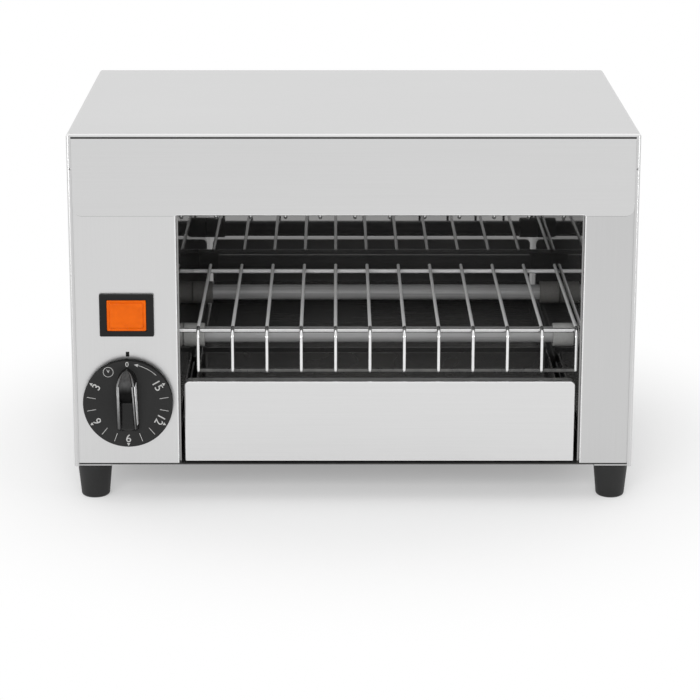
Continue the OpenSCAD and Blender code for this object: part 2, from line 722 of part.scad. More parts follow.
// Tray front as a block with its folds rounded, drawn in by a wall and run on below and behind
module tray_block(wall, run_on) {
    x0 = tray_x0 + wall;
    x1 = tray_x1 - wall;
    y0 = tray_setback + wall;
    y1 = tray_setback + tray_rim + run_on;
    z0 = tray_front_z - run_on;
    z1 = tray_top_z - wall;
    r = tray_fold_r - wall;
    corner_r = tray_corner_r - wall;
    intersection() {
        along_y(y0, y1) plate_2d(x0, z0, x1, z1, tr = corner_r, tl = corner_r);
        along_x(x0, x1) plate_2d(y0, z0, y1, z1, tl = r);
        along_z(z0, z1) plate_2d(x0, y0, x1, y1, bl = r, br = r);
    }
}

// Front plate of the crumb tray, with a rim folded back round its sides and top
module tray_front() color("gainsboro") placed() difference() {
    tray_block(0, 0);
    tray_block(tray_t, past);
}

// Crumb pan behind the front plate
module tray_pan() color("silver") placed() difference() {
    along_z(tray_z, tray_z + tray_pan_h)
        plate_2d(pan_x0, tray_back_y, pan_x1, tray_end_y, tr = tray_pan_r, tl = tray_pan_r);
    along_z(tray_z + tray_t, tray_z + tray_pan_h + past)
        plate_2d(pan_x0 + tray_t, tray_back_y + tray_t, pan_x1 - tray_t, tray_end_y - tray_t,
                 tr = tray_pan_r - tray_t, tl = tray_pan_r - tray_t);
}

// Angle under and beside one edge of the tray, drawn for the left edge at x = 0
module runner() along_y(runner_y, tray_end_y) {
    plate_2d(-tray_wall_gap - sheet_t, floor_z, -tray_wall_gap, floor_z + runner_h);
    plate_2d(-tray_wall_gap - sheet_t, floor_z, runner_w - tray_wall_gap, floor_z + sheet_t);
}
module left_runner() color("silver") placed() translate([pan_x0, 0, 0]) runner();
module right_runner() color("silver") placed() translate([pan_x1, 0, 0]) mirror([1, 0, 0]) runner();

// Shaft section with its flat, oversize by a clearance
module shaft_2d(gap) difference() {
    circle(d = shaft_d + 2 * gap);
    translate([-shaft_d, shaft_d / 2 - shaft_flat + gap]) square([2 * shaft_d, shaft_d]);
}

// Outline of the knob's grip in the dial's plane: a pointed arch over straight sides
module grip_2d() {
    half = grip_shoulder_w / 2;
    rise = grip_tip - grip_shoulder_z;
    arch_r = (half * half + rise * rise) / (2 * half);
    tail_x = grip_tail_w / 2;
    bevel_x = tail_x - (tail_x - half) * grip_bevel / (grip_shoulder_z + grip_tail);
    intersection() {
        translate([half - arch_r, grip_shoulder_z]) circle(arch_r);
        translate([arch_r - half, grip_shoulder_z]) circle(arch_r);
        translate([-half, grip_shoulder_z]) square([2 * half, rise + past]);
    }
    polygon([[-half, grip_shoulder_z], [half, grip_shoulder_z], [bevel_x, grip_bevel - grip_tail],
             [tail_x - grip_bevel, -grip_tail], [grip_bevel - tail_x, -grip_tail],
             [-bevel_x, grip_bevel - grip_tail]]);
}

// Side view of the grip: highest at the shoulders and falling away to both ends
module grip_side_2d() {
    fall = (grip_h - grip_tip_h) / (grip_tip - grip_shoulder_z);
    polygon([[knob_face_y + past, grip_tip + past], [knob_face_y - grip_tip_h + past * fall, grip_tip + past],
             [grip_front_y, grip_shoulder_z], [knob_face_y - grip_tail_h, -grip_tail],
             [knob_face_y - grip_tail_h, -grip_tail - past], [knob_face_y + past, -grip_tail - past]]);
}

// Groove along the grip's face, deepest at the axis and open at the blunt end
module groove_2d() {
    end_y = knob_face_y - grip_tail_h + groove_end_depth;
    polygon([[grip_front_y - past, grip_shoulder_z - groove_start], [grip_front_y, grip_shoulder_z - groove_start],
             [knob_face_y - groove_h, 0], [end_y, -grip_tail], [end_y, -grip_tail - past],
             [grip_front_y - past, -grip_tail - past]]);
}

// Dial disc with a rounded rim, a hollow back, a hub and a grip bar
module timer_knob() color("black") placed() translate([control_x, 0, knob_z]) difference() {
    union() {
        translate([0, knob_back_y, 0]) rotate([90, 0, 0]) rotate_extrude($fn = 96) difference() {
            plate_2d(0, 0, knob_d / 2, knob_t, tr = knob_rim_r);
            plate_2d(0, -past, knob_d / 2 - knob_wall, knob_t - knob_wall);
        }
        along_y(knob_face_y, knob_back_y - hole_gap) circle(d = hub_d);
        difference() {
            intersection() {
                along_y(grip_front_y, knob_face_y + past) grip_2d();
                along_x(-grip_tail_w, grip_tail_w) grip_side_2d();
            }
            along_x(-groove_w / 2, groove_w / 2) groove_2d();
        }
    }
    along_y(shaft_front_y - hole_gap, knob_back_y + past) shaft_2d(hole_gap / 2);
}

// Shaft of the timer, with a flat in the knob
module timer_shaft() color("silver") placed() translate([control_x, 0, knob_z]) {
    along_y(shaft_front_y, knob_back_y) shaft_2d(0);
    along_y(knob_back_y, timer_y + shaft_in_case - hole_gap) circle(d = shaft_d);
}

// Closed case of the clockwork timer
module timer_case() color("white") placed() translate([control_x, 0, knob_z]) difference() {
    h = timer_w / 2;
    r = timer_case_r;
    along_y(timer_y, timer_y + timer_d) plate_2d(-h, -h, h, h, bl = r, br = r, tr = r, tl = r);
    bar_y(timer_y - past, timer_y + shaft_in_case, 0, 0, shaft_d + 2 * shaft_gap);
}

// Steel plate that holds the timer to the panel
module timer_plate() color("silver") placed() translate([control_x, 0, knob_z]) along_y(sheet_t, timer_y)
    difference() {
        slot_2d(timer_w + 2 * timer_plate_over, timer_plate_h);
        circle(d = shaft_hole_d);
        for (s = [-1, 1]) translate([s * timer_screw_r, 0]) circle(d = screw_hole_d);
    }

// Two screws that hold the timer, hidden behind the dial
module timer_screws() color("silver") placed() translate([control_x, 0, knob_z])
    for (s = [-1, 1]) {
        bar_y(-screw_head_h, 0, s * timer_screw_r, 0, screw_head_d);
        bar_y(-past, timer_y, s * timer_screw_r, 0, screw_d);
    }

// Blade tabs, side by side along X, behind a case
module blade_tabs(n, pitch, y) for (i = [0:n - 1])
    along_y(y, y + tab_l) translate([(i - (n - 1) / 2) * pitch, 0]) square([tab_t, tab_w], center = true);
module timer_tabs() color("gold") placed() translate([control_x, 0, knob_z])
    blade_tabs(3, timer_tab_pitch, timer_y + timer_d);

// Plate centred on the axis, with round corners and a bevel round its front face
module bevelled_plate(w, h, y0, y1, r, bevel) intersection() {
    along_y(y0, y1) plate_2d(-w / 2, -h / 2, w / 2, h / 2, r, r, r, r);
    along_x(-w / 2, w / 2) polygon([[y1, -h / 2], [y0 + bevel, -h / 2], [y0, -h / 2 + bevel],
                                    [y0, h / 2 - bevel], [y0 + bevel, h / 2], [y1, h / 2]]);
    along_z(-h / 2, h / 2) polygon([[-w / 2, y1], [-w / 2, y0 + bevel], [-w / 2 + bevel, y0],
                                    [w / 2 - bevel, y0], [w / 2, y0 + bevel], [w / 2, y1]]);
}

// Black frame of the pilot lamp, with a neck through the panel
module lamp_bezel() color("black") placed() translate([control_x, 0, lamp_z]) difference() {
    neck_w = lens_w + 2 * lamp_neck_wall;
    neck_h = lens_h + 2 * lamp_neck_wall;
    union() {
        bevelled_plate(bezel_w, bezel_h, -bezel_t, 0, bezel_r, bezel_bevel);
        along_y(-bezel_t / 2, lamp_neck_l) square([neck_w, neck_h], center = true);
    }
    along_y(-bezel_t - past, lamp_neck_l + past)
        square([lens_w + 2 * hole_gap, lens_h + 2 * hole_gap], center = true);
}

// Amber lens with a bevelled face, pushed into the frame
module lamp_lens() color("orangered") placed() translate([control_x, 0, lamp_z])
    bevelled_plate(lens_w, lens_h, -bezel_t - lens_proud, lamp_neck_l, lens_r, lens_bevel);

// Lamp holder behind the lens
module lamp_body() color("dimgray") placed() translate([control_x, 0, lamp_z])
    along_y(lamp_neck_l, lamp_body_d) plate_2d(
        -lens_w / 2 - lamp_neck_wall, -lens_h / 2 - lamp_neck_wall,
        lens_w / 2 + lamp_neck_wall, lens_h / 2 + lamp_neck_wall);
module lamp_tabs() color("gold") placed() translate([control_x, 0, lamp_z])
    blade_tabs(2, lamp_tab_pitch, lamp_body_d);

// Outline of a foot: a taper whose lower edge is an arc that meets the floor and the side
module foot_2d() {
    flare = (foot_top_d - foot_floor_d) / 2;
    slant = sqrt(flare * flare + foot_h * foot_h);
    arc_x = foot_floor_d / 2 + foot_edge_r * (flare - slant) / foot_h;
    side = [foot_h / slant, -flare / slant];
    translate([arc_x, foot_edge_r]) circle(foot_edge_r);
    polygon([[0, 0], [arc_x, 0], [arc_x + foot_edge_r * side[0], foot_edge_r * (1 + side[1])],
             [foot_top_d / 2, foot_h], [0, foot_h]]);
}

// Tapered rubber foot with a recess for its screw
module foot(spot) color("black") placed() translate([spot[0], spot[1], 0]) difference() {
    rotate_extrude() foot_2d();
    translate([0, 0, -past]) cylinder(h = foot_recess_h + past, d = foot_recess_d);
    translate([0, 0, -past]) cylinder(h = foot_h + 2 * past, d = foot_hole_d);
}
module front_left_foot() foot(foot_spots[0]);
module rear_left_foot() foot(foot_spots[1]);
module front_right_foot() foot(foot_spots[2]);
module rear_right_foot() foot(foot_spots[3]);

// Screws up through the feet, the casing's flanges and the base pan
module foot_screws() color("silver") placed() for (p = foot_spots) translate([p[0], p[1], 0]) {
    translate([0, 0, foot_recess_h - foot_head_h]) cylinder(h = foot_head_h, d = foot_recess_d - 2 * seat_gap);
    translate([0, 0, foot_recess_h - past]) cylinder(h = floor_z + foot_nut_h - foot_recess_h + past, d = foot_screw_d);
}
module foot_nuts() color("silver") placed() for (p = foot_spots) translate([p[0], p[1], floor_z])
    linear_extrude(foot_nut_h) difference() {
        hexagon_2d(foot_nut_af);
        circle(d = foot_screw_d + 2 * hole_gap);
    }

// Pan-head screws round the back panel
module back_screws() color("silver") placed() for (p = back_spots) {
    bar_y(body_d, body_d + screw_head_h, p[0], p[1], screw_head_d);
    bar_y(body_d - screw_l, body_d + past, p[0], p[1], screw_d);
}

// Cable gland for a mains lead: thread, hexagon and tapered cap round one bore
module cable_gland() color("black") placed() translate([control_x, 0, gland_z]) difference() {
    union() {
        bar_y(casing_y1 - gland_thread_l, body_d + past, 0, 0, gland_thread_d);
        along_y(body_d, body_d + gland_hex_t) hexagon_2d(gland_hex);
        bar_y(body_d + gland_hex_t - past, body_d + gland_hex_t + gland_cap_l, 0, 0, gland_cap_d);
        translate([0, body_d + gland_hex_t + gland_cap_l, 0]) rotate([-90, 0, 0])
            cylinder(h = gland_taper_l, d1 = gland_cap_d, d2 = gland_mouth_d);
    }
    bar_y(casing_y1 - gland_thread_l - past, body_d + gland_reach + past, 0, 0, gland_bore);
}

// Lock nut of the gland, inside the back panel
module gland_nut() color("black") placed() translate([control_x, 0, gland_z])
    along_y(casing_y1 - gland_hex_t, casing_y1) difference() {
        hexagon_2d(gland_hex);
        circle(d = gland_thread_d + 2 * hole_gap);
    }

// Three-pole terminal block on the base pan, with a wire hole through each pole
module terminal_block() color("white") placed() {
    block_w = 42;
    block_h = 15;
    block_r = 1;
    pole_d = 5;
    difference() {
        along_y(block_y, block_y + block_l)
            plate_2d(control_x - block_w / 2, floor_z, control_x + block_w / 2, floor_z + block_h,
                     tr = block_r, tl = block_r);
        for (i = [-1:1]) bar_y(block_y - past, block_y + block_l + past,
                               control_x + i * block_w / 3, floor_z + block_h / 2, pole_d);
    }
}

// Earth stud with its nut, on the base pan
module earth_stud() color("gold") placed() translate([control_x, block_y - earth_gap, floor_z]) {
    stud_h = 14;
    cylinder(h = stud_h, d = foot_screw_d);
    linear_extrude(foot_nut_h) hexagon_2d(foot_nut_af);
}

outer_casing();
base_pan();
control_panel();
right_pillar();
header_panel();
back_panel();
left_liner();
right_liner();
rear_reflector();
roof_reflector();
lower_guard();
upper_guard();
lower_front_tube();
lower_rear_tube();
upper_front_tube();
upper_rear_tube();
lower_front_caps();
lower_rear_caps();
upper_front_caps();
upper_rear_caps();
lower_front_coil();
lower_rear_coil();
upper_front_coil();
upper_rear_coil();
element_studs();
stud_nuts();
link_straps();
element_lugs();
tray_front();
tray_pan();
left_runner();
right_runner();
timer_knob();
timer_shaft();
timer_case();
timer_plate();
timer_screws();
timer_tabs();
lamp_bezel();
lamp_lens();
lamp_body();
lamp_tabs();
front_left_foot();
front_right_foot();
rear_left_foot();
rear_right_foot();
foot_screws();
foot_nuts();
back_screws();
cable_gland();
gland_nut();
terminal_block();
earth_stud();
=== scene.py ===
import math

import bmesh
import bpy
from mathutils import Matrix, Vector


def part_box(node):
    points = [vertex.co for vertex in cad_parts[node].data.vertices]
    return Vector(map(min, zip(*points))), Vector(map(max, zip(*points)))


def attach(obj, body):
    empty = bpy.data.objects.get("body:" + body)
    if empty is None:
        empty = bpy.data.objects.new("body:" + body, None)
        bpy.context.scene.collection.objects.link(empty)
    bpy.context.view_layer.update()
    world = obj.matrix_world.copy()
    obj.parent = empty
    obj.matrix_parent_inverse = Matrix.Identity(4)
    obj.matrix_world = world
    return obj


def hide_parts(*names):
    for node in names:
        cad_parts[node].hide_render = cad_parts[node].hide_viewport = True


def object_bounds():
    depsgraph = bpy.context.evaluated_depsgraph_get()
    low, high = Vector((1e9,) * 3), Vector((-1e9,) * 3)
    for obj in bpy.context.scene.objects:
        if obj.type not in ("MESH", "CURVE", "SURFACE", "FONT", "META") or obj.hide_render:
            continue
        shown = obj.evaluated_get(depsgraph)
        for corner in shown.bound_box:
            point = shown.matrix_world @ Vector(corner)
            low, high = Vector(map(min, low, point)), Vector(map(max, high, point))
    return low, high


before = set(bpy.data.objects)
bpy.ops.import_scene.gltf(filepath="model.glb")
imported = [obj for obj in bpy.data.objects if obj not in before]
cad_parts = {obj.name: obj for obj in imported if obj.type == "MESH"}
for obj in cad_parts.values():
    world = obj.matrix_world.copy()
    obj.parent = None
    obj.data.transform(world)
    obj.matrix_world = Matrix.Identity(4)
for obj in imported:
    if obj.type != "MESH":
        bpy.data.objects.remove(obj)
cad_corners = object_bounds()

# Base pan and tray runners
# Zinc-plated sheet steel, punched and folded. The pan lies on the casing's bottom flanges and is
# painted near-black as painted shade, so that its front edge under the crumb tray reads as shadow. The
# two angles that the crumb tray slides on are spot-welded to it.
noise_range = (0.3, 0.7)


def even(size):
    return (size, size, size)


def start_material(name):
    made = bpy.data.materials.new(name)
    made.use_nodes = True
    return made, made.node_tree, made.node_tree.nodes["Principled BSDF"]


def add_node(tree, kind, inputs=(), **settings):
    node = tree.nodes.new(kind)
    for key, value in settings.items():
        setattr(node, key, value)
    for key, value in dict(inputs).items():
        if isinstance(value, bpy.types.NodeSocket):
            tree.links.new(value, node.inputs[key])
        else:
            node.inputs[key].default_value = value
    return node


def noise(tree, grain):
    place = add_node(tree, "ShaderNodeTexCoord").outputs["Object"]
    stretched = add_node(tree, "ShaderNodeMapping", {"Vector": place, "Scale": grain}).outputs["Vector"]
    pattern = add_node(tree, "ShaderNodeTexNoise", {"Vector": stretched, "Scale": 1.0, "Detail": 2.0})
    return pattern.outputs["Fac"]


def spread(tree, factor, low, high):
    start, end = noise_range
    ends = {"Value": factor, "From Min": start, "From Max": end, "To Min": low, "To Max": high}
    return add_node(tree, "ShaderNodeMapRange", ends).outputs["Result"]


def shade(tree, factor, dark, light):
    ramp = add_node(tree, "ShaderNodeValToRGB", {"Fac": factor})
    for stop, place, colour in zip(ramp.color_ramp.elements, noise_range, (dark, light)):
        stop.position = place
        stop.color = (*colour, 1.0)
    return ramp.outputs["Color"]


def relief(tree, factor, depth):
    bump = add_node(tree, "ShaderNodeBump", {"Height": factor, "Distance": depth, "Strength": 1.0})
    return bump.outputs["Normal"]


def finish_material(name, dark, light, rough, grain, cloud, depth=0.0, metallic=0.0, **sockets):
    made, tree, shader = start_material(name)
    fine = noise(tree, grain)
    broad = noise(tree, even(cloud))
    both = add_node(tree, "ShaderNodeMix", {"Factor": 0.5, "A": fine, "B": broad}).outputs["Result"]
    tree.links.new(shade(tree, both, dark, light), shader.inputs["Base Color"])
    tree.links.new(spread(tree, both, *rough), shader.inputs["Roughness"])
    if depth:
        tree.links.new(relief(tree, fine, depth), shader.inputs["Normal"])
    shader.inputs["Metallic"].default_value = metallic
    for socket, value in sockets.items():
        shader.inputs[socket.replace("_", " ")].default_value = value
    return made


def dress(material, *names):
    for name in names:
        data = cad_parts[name].data
        data.materials.clear()
        data.materials.append(material)


zinc_plate = finish_material(
    "zinc_plate", dark=(0.40, 0.41, 0.42), light=(0.58, 0.59, 0.60), rough=(0.30, 0.45),
    grain=even(260), cloud=30, depth=0.00001, metallic=1.0)
# painted shade: the pan's zinc is coloured near-black so its front edge reads as shadow
smoked_zinc = finish_material(
    "smoked_zinc", dark=(0.035, 0.035, 0.036), light=(0.075, 0.074, 0.072), rough=(0.40, 0.58),
    grain=even(260), cloud=12, depth=0.00001, metallic=0.8)
dress(smoked_zinc, "base_pan")
dress(zinc_plate, "left_runner", "right_runner")

# Grill space lining
# Sheet steel polished to a mirror and darkened by heat: two side walls, the back wall and the roof
# over the upper tubes. The walls mirror each other, the guards and the tubes.
polished_steel = finish_material(
    "polished_steel", dark=even(0.25), light=(0.33, 0.325, 0.32), rough=(0.01, 0.035),
    grain=(30, 700, 30), cloud=9, metallic=0.87)
dress(polished_steel, "left_liner", "right_liner", "rear_reflector", "roof_reflector")

# Heating tubes
# Milky quartz tubes with a wound heating wire inside. Each sits at both ends in a turned ceramic cap,
# whose neck goes out through the side wall to a threaded stud with a nut. The rear caps are coloured
# darker than the front ones.
MM = 0.001


def lathe(outline, sides):
    form = bmesh.new()
    rings = []
    for radius, height in outline:
        count = sides if radius > 0 else 1
        turn = 2 * math.pi / count
        rings.append([form.verts.new((radius * math.cos(i * turn), radius * math.sin(i * turn), height))
                      for i in range(count)])
    for near, far in zip(rings, rings[1:]):
        for i in range(max(len(near), len(far))):
            corners = [near[i % len(near)], near[(i + 1) % len(near)]]
            corners += [far[(i + 1) % len(far)], far[i % len(far)]]
            form.faces.new(list(dict.fromkeys(corners)))
    bmesh.ops.recalc_face_normals(form, faces=form.faces)
    mesh = bpy.data.meshes.new("lathe")
    form.to_mesh(mesh)
    form.free()
    return mesh


def arc(centre, radius, start, end, steps):
    angles = [math.radians(start + (end - start) * i / steps) for i in range(steps + 1)]
    return [(centre[0] + radius * math.cos(a), centre[1] + radius * math.sin(a)) for a in angles]


def scaled(outline, size):
    return [(a * size, b * size) for a, b in outline]


def joined(meshes):
    form = bmesh.new()
    for mesh in meshes:
        form.from_mesh(mesh)
    whole = bpy.data.meshes.new("joined")
    form.to_mesh(whole)
    form.free()
    return whole


def moved(mesh, place):
    copy = mesh.copy()
    copy.transform(place)
    if place.determinant() < 0:
        copy.flip_normals()
    return copy


def add_piece(name, mesh, material, body, replaced=(), sharp=35.0):
    piece = bpy.data.objects.new(name, mesh)
    bpy.context.scene.collection.objects.link(piece)
    if material:
        mesh.materials.clear()
        mesh.materials.append(material)
    mesh.shade_smooth()
    mesh.set_sharp_from_angle(angle=math.radians(sharp))
    flats = piece.modifiers.new("flats", "WEIGHTED_NORMAL")
    flats.keep_sharp = True
    depsgraph = bpy.context.evaluated_depsgraph_get()
    shaded = bpy.data.meshes.new_from_object(piece.evaluated_get(depsgraph), depsgraph=depsgraph)
    piece.modifiers.remove(flats)
    piece.data = shaded
    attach(piece, body)
    if replaced:
        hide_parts(*replaced)


def fired_steatite(name, dark, light):
    return finish_material(
        name, dark, light, rough=(0.50, 0.70), grain=even(900), cloud=60, depth=0.00002)


milky_quartz = finish_material(
    "milky_quartz", dark=even(0.25), light=even(0.31), rough=(0.22, 0.34),
    grain=(6, 500, 500), cloud=14, depth=0.000004, Coat_Weight=0.3, Coat_Roughness=0.12)
steatite = fired_steatite("steatite", dark=(0.27, 0.27, 0.265), light=(0.36, 0.36, 0.35))
# The rear caps use the same ceramic, only coloured darker than the front caps.
browned_steatite = fired_steatite(
    "browned_steatite", dark=(0.09, 0.088, 0.085), light=(0.15, 0.147, 0.14))
coil_alloy = finish_material(
    "coil_alloy", dark=(0.16, 0.13, 0.11), light=(0.30, 0.26, 0.23), rough=(0.40, 0.60),
    grain=(60, 900, 900), cloud=40, depth=0.00001, metallic=0.9)
bare_brass = finish_material(
    "bare_brass", dark=(0.55, 0.38, 0.14), light=(0.70, 0.52, 0.22), rough=(0.25, 0.40),
    grain=even(300), cloud=40, depth=0.00001, metallic=1.0)
tube_rows = [level + "_" + side for level in ("lower", "upper") for side in ("front", "rear")]
dress(milky_quartz, *[row + "_tube" for row in tube_rows])
dress(coil_alloy, *[row + "_coil" for row in tube_rows])
dress(zinc_plate, "element_studs", "link_straps", "element_lugs")
dress(bare_brass, "stud_nuts")

cap_r = 8.0
cap_l = 14.5
cap_edge = 0.8
cap_edge_steps = 4
cap_sides = 40
cap_mouth_r = 5.9
cap_mouth_depth = 9.9
neck_r = 5.0
neck_l = 6.0
stud_hole_r = 2.2
cap_outline = [
    (stud_hole_r, -neck_l), (neck_r - cap_edge, -neck_l), (neck_r, cap_edge - neck_l), (neck_r, 0),
    *arc((cap_r - cap_edge, cap_edge), cap_edge, -90, 0, cap_edge_steps),
    *arc((cap_r - cap_edge, cap_l - cap_edge), cap_edge, 0, 90, cap_edge_steps),
    (cap_mouth_r + cap_edge, cap_l), (cap_mouth_r, cap_l - cap_edge),
    (cap_mouth_r, cap_l - cap_mouth_depth), (stud_hole_r, cap_l - cap_mouth_depth),
    (stud_hole_r, -neck_l)]
cap_mesh = lathe(scaled(cap_outline, MM), cap_sides)
inwards = Matrix.Rotation(math.radians(90), 4, "Y")
for row in tube_rows:
    caps_low, caps_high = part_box(row + "_caps")
    tube_axis = (caps_low + caps_high) / 2
    left_wall = Matrix.Translation((caps_low.x + neck_l * MM, tube_axis.y, tube_axis.z))
    right_wall = Matrix.Translation((caps_high.x - neck_l * MM, tube_axis.y, tube_axis.z))
    left_cap = moved(cap_mesh, left_wall @ inwards)
    right_cap = moved(cap_mesh, right_wall @ inwards.inverted())
    cap_pair = joined([left_cap, right_cap])
    ceramic = steatite if row.endswith("front") else browned_steatite
    add_piece(row + "_end_caps", cap_pair, ceramic, "grill", [row + "_caps"])

# Wire guards
# Chromed steel wire, spot-welded: bent wires over two cross rails whose ends rest in the side walls,
# and a third rail, painted dark as painted shade, along the free ends of the aprons. Behind the aprons
# the wires and the back rail are painted near-white and barely metallic, a painted brightening for
# light that doesn't reach them in the grill space. The upper guard is the lower one turned over.


def start_tree(name, sizes):
    tree = bpy.data.node_groups.new(name, "GeometryNodeTree")
    tree.interface.new_socket("Geometry", in_out="INPUT", socket_type="NodeSocketGeometry")
    tree.interface.new_socket("Geometry", in_out="OUTPUT", socket_type="NodeSocketGeometry")
    for label, kind in sizes.items():
        tree.interface.new_socket(label, in_out="INPUT", socket_type="NodeSocket" + kind)
    return tree, add_node(tree, "NodeGroupInput").outputs


def together(tree, parts):
    joint = tree.nodes.new("GeometryNodeJoinGeometry")
    for part in reversed(parts):
        tree.links.new(part, joint.inputs["Geometry"])
    return joint.outputs["Geometry"]


def painted(tree, part, material):
    whole = add_node(tree, "GeometryNodeRealizeInstances", {"Geometry": part}).outputs["Geometry"]
    paint = add_node(tree, "GeometryNodeSetMaterial", {"Geometry": whole, "Material": material})
    return paint.outputs["Geometry"]


def grown(tree, values, start):
    seed = bpy.data.objects.new(tree.name, start)
    bpy.context.scene.collection.objects.link(seed)
    modifier = seed.modifiers.new(tree.name, "NODES")
    modifier.node_group = tree
    for item in tree.interface.items_tree:
        if item.in_out == "INPUT" and item.name in values:
            modifier[item.identifier] = values[item.name]
    depsgraph = bpy.context.evaluated_depsgraph_get()
    mesh = bpy.data.meshes.new_from_object(seed.evaluated_get(depsgraph), depsgraph=depsgraph)
    bpy.data.objects.remove(seed)
    if mesh.materials[0] is None:
        mesh.materials.pop(index=0)
    return mesh


def line_between(tree, start, end):
    line = add_node(tree, "GeometryNodeCurvePrimitiveLine", {"Start": start, "End": end})
    return line.outputs["Curve"]


def tube_along(tree, curve, radius, sides):
    ring = add_node(tree, "GeometryNodeCurvePrimitiveCircle", {"Resolution": sides, "Radius": radius})
    tube = add_node(tree, "GeometryNodeCurveToMesh",
                    {"Curve": curve, "Profile Curve": ring.outputs["Curve"], "Fill Caps": True})
    return tube.outputs["Mesh"]


def ball(tree, radius):
    sphere = add_node(tree, "GeometryNodeMeshIcoSphere", {"Radius": radius, "Subdivisions": 3})
    return sphere.outputs["Mesh"]


def chrome(name, dark, light, rough, metallic):
    return finish_material(name, dark, light, rough, grain=even(220), cloud=40, metallic=metallic)


# painted brightening: the wires behind the aprons and the back rail get a near-white, barely metallic
# finish
guard_chrome = chrome("guard_chrome", even(0.92), even(0.97), rough=(0.16, 0.22), metallic=0.08)
rail_chrome = chrome("rail_chrome", even(0.56), even(0.64), rough=(0.16, 0.22), metallic=0.92)
apron_chrome = chrome("apron_chrome", even(0.77), even(0.85), rough=(0.12, 0.18), metallic=0.95)
# painted shade: the apron rail is coloured dark where it lies behind the aprons
smoked_chrome = chrome(
    "smoked_chrome", even(0.06), (0.12, 0.12, 0.115), rough=(0.24, 0.34), metallic=0.7)

guard_tree, guard_input = start_tree("welded_guard", {
    "Wire foot": "Vector", "Wire corner": "Vector", "Wire end": "Vector", "Bend radius": "Float",
    "Wire radius": "Float", "Rail radius": "Float", "Wires": "Int", "Pitch": "Vector",
    "Weld radius": "Float", "Front weld": "Vector", "Back weld": "Vector", "Apron weld": "Vector",
    "Apron rail start": "Vector", "Apron rail end": "Vector",
    "Front rail start": "Vector", "Front rail end": "Vector", "Apron depth": "Float"})
wire_sides = 16
rail_sides = 20
bend_steps = 10
bead_shape = (1.25, 1.25, 1.0)
straight = line_between(guard_tree, guard_input["Wire foot"], guard_input["Wire end"])
three_points = add_node(guard_tree, "GeometryNodeResampleCurve", {"Curve": straight, "Count": 3})
point = add_node(guard_tree, "GeometryNodeInputIndex").outputs["Index"]
is_corner = add_node(guard_tree, "FunctionNodeCompare", {2: point, 3: 1},
                     data_type="INT", operation="EQUAL")
cornered = add_node(guard_tree, "GeometryNodeSetPosition", {
    "Geometry": three_points.outputs["Curve"], "Selection": is_corner.outputs["Result"],
    "Position": guard_input["Wire corner"]})
bent = add_node(guard_tree, "GeometryNodeFilletCurve", {
    "Curve": cornered.outputs["Geometry"], "Radius": guard_input["Bend radius"], "Count": bend_steps},
    mode="POLY")
wire_parts = [tube_along(guard_tree, bent.outputs["Curve"], guard_input["Wire radius"], wire_sides)]
bead = ball(guard_tree, guard_input["Weld radius"])
for weld in ("Front weld", "Back weld", "Apron weld"):
    welded = add_node(guard_tree, "GeometryNodeTransform", {
        "Geometry": bead, "Translation": guard_input[weld], "Scale": bead_shape})
    wire_parts.append(welded.outputs["Geometry"])
round_end = ball(guard_tree, guard_input["Wire radius"])
for tip in ("Wire foot", "Wire end"):
    capped = add_node(guard_tree, "GeometryNodeTransform", {
        "Geometry": round_end, "Translation": guard_input[tip]})
    wire_parts.append(capped.outputs["Geometry"])
wire_row = add_node(guard_tree, "GeometryNodeMeshLine", {
    "Count": guard_input["Wires"], "Offset": guard_input["Pitch"]})
wires = add_node(guard_tree, "GeometryNodeInstanceOnPoints", {
    "Points": wire_row.outputs["Mesh"], "Instance": together(guard_tree, wire_parts)})
back_line = add_node(guard_tree, "GeometryNodeMeshToCurve", {"Mesh": guard_input["Geometry"]})
back_rail = tube_along(guard_tree, back_line.outputs["Curve"], guard_input["Rail radius"], rail_sides)
wires_and_rail = together(guard_tree, [wires.outputs["Instances"], back_rail])
bright_part = painted(guard_tree, wires_and_rail, guard_chrome)
point_place = add_node(guard_tree, "GeometryNodeInputPosition").outputs["Position"]
point_depth = add_node(guard_tree, "ShaderNodeSeparateXYZ", {"Vector": point_place}).outputs["Y"]
in_apron = add_node(guard_tree, "FunctionNodeCompare", {
    "A": point_depth, "B": guard_input["Apron depth"]}, data_type="FLOAT", operation="LESS_THAN")
with_aprons = add_node(guard_tree, "GeometryNodeSetMaterial", {
    "Geometry": bright_part, "Selection": in_apron.outputs["Result"], "Material": apron_chrome})
guard_parts = [with_aprons.outputs["Geometry"]]
for rail, rail_finish in (("Apron rail", smoked_chrome), ("Front rail", rail_chrome)):
    rail_line = line_between(guard_tree, guard_input[rail + " start"], guard_input[rail + " end"])
    rail_bar = tube_along(guard_tree, rail_line, guard_input["Rail radius"], rail_sides)
    guard_parts.append(painted(guard_tree, rail_bar, rail_finish))
add_node(guard_tree, "NodeGroupOutput", {"Geometry": together(guard_tree, guard_parts)})

wire_r = 1.2 * MM
rail_r = 1.5 * MM
weld_r = 1.0 * MM
wire_pitch = 23 * MM
wire_count = 12
wire_tail = 9 * MM
wire_bend_r = 6 * MM
weld_depth = 0.3 * MM
rail_reach = 3 * MM
rail_end = 0.8 * MM
wire_end_gap = 1.7 * MM
foot_lift = 1.0 * MM
guard_low, guard_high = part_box("lower_guard")
wire_z = guard_high.z - wire_r
apron_y = guard_low.y + wire_r
last_x = guard_high.x - rail_reach - wire_end_gap
first_x = last_x - (wire_count - 1) * wire_pitch
rail_z = wire_z - wire_r - rail_r + weld_depth
weld_z = wire_z - wire_r
front_rail_y = apron_y + wire_bend_r + rail_r
back_rail_y = guard_high.y - wire_tail
apron_rail_y = apron_y + wire_r + rail_r - weld_depth
apron_rail_z = guard_low.z + rail_r
back_rail_ends = [(guard_low.x, back_rail_y, rail_z), (guard_high.x, back_rail_y, rail_z)]
back_rail_mesh = bpy.data.meshes.new("back_rail")
back_rail_mesh.from_pydata(back_rail_ends, [(0, 1)], [])
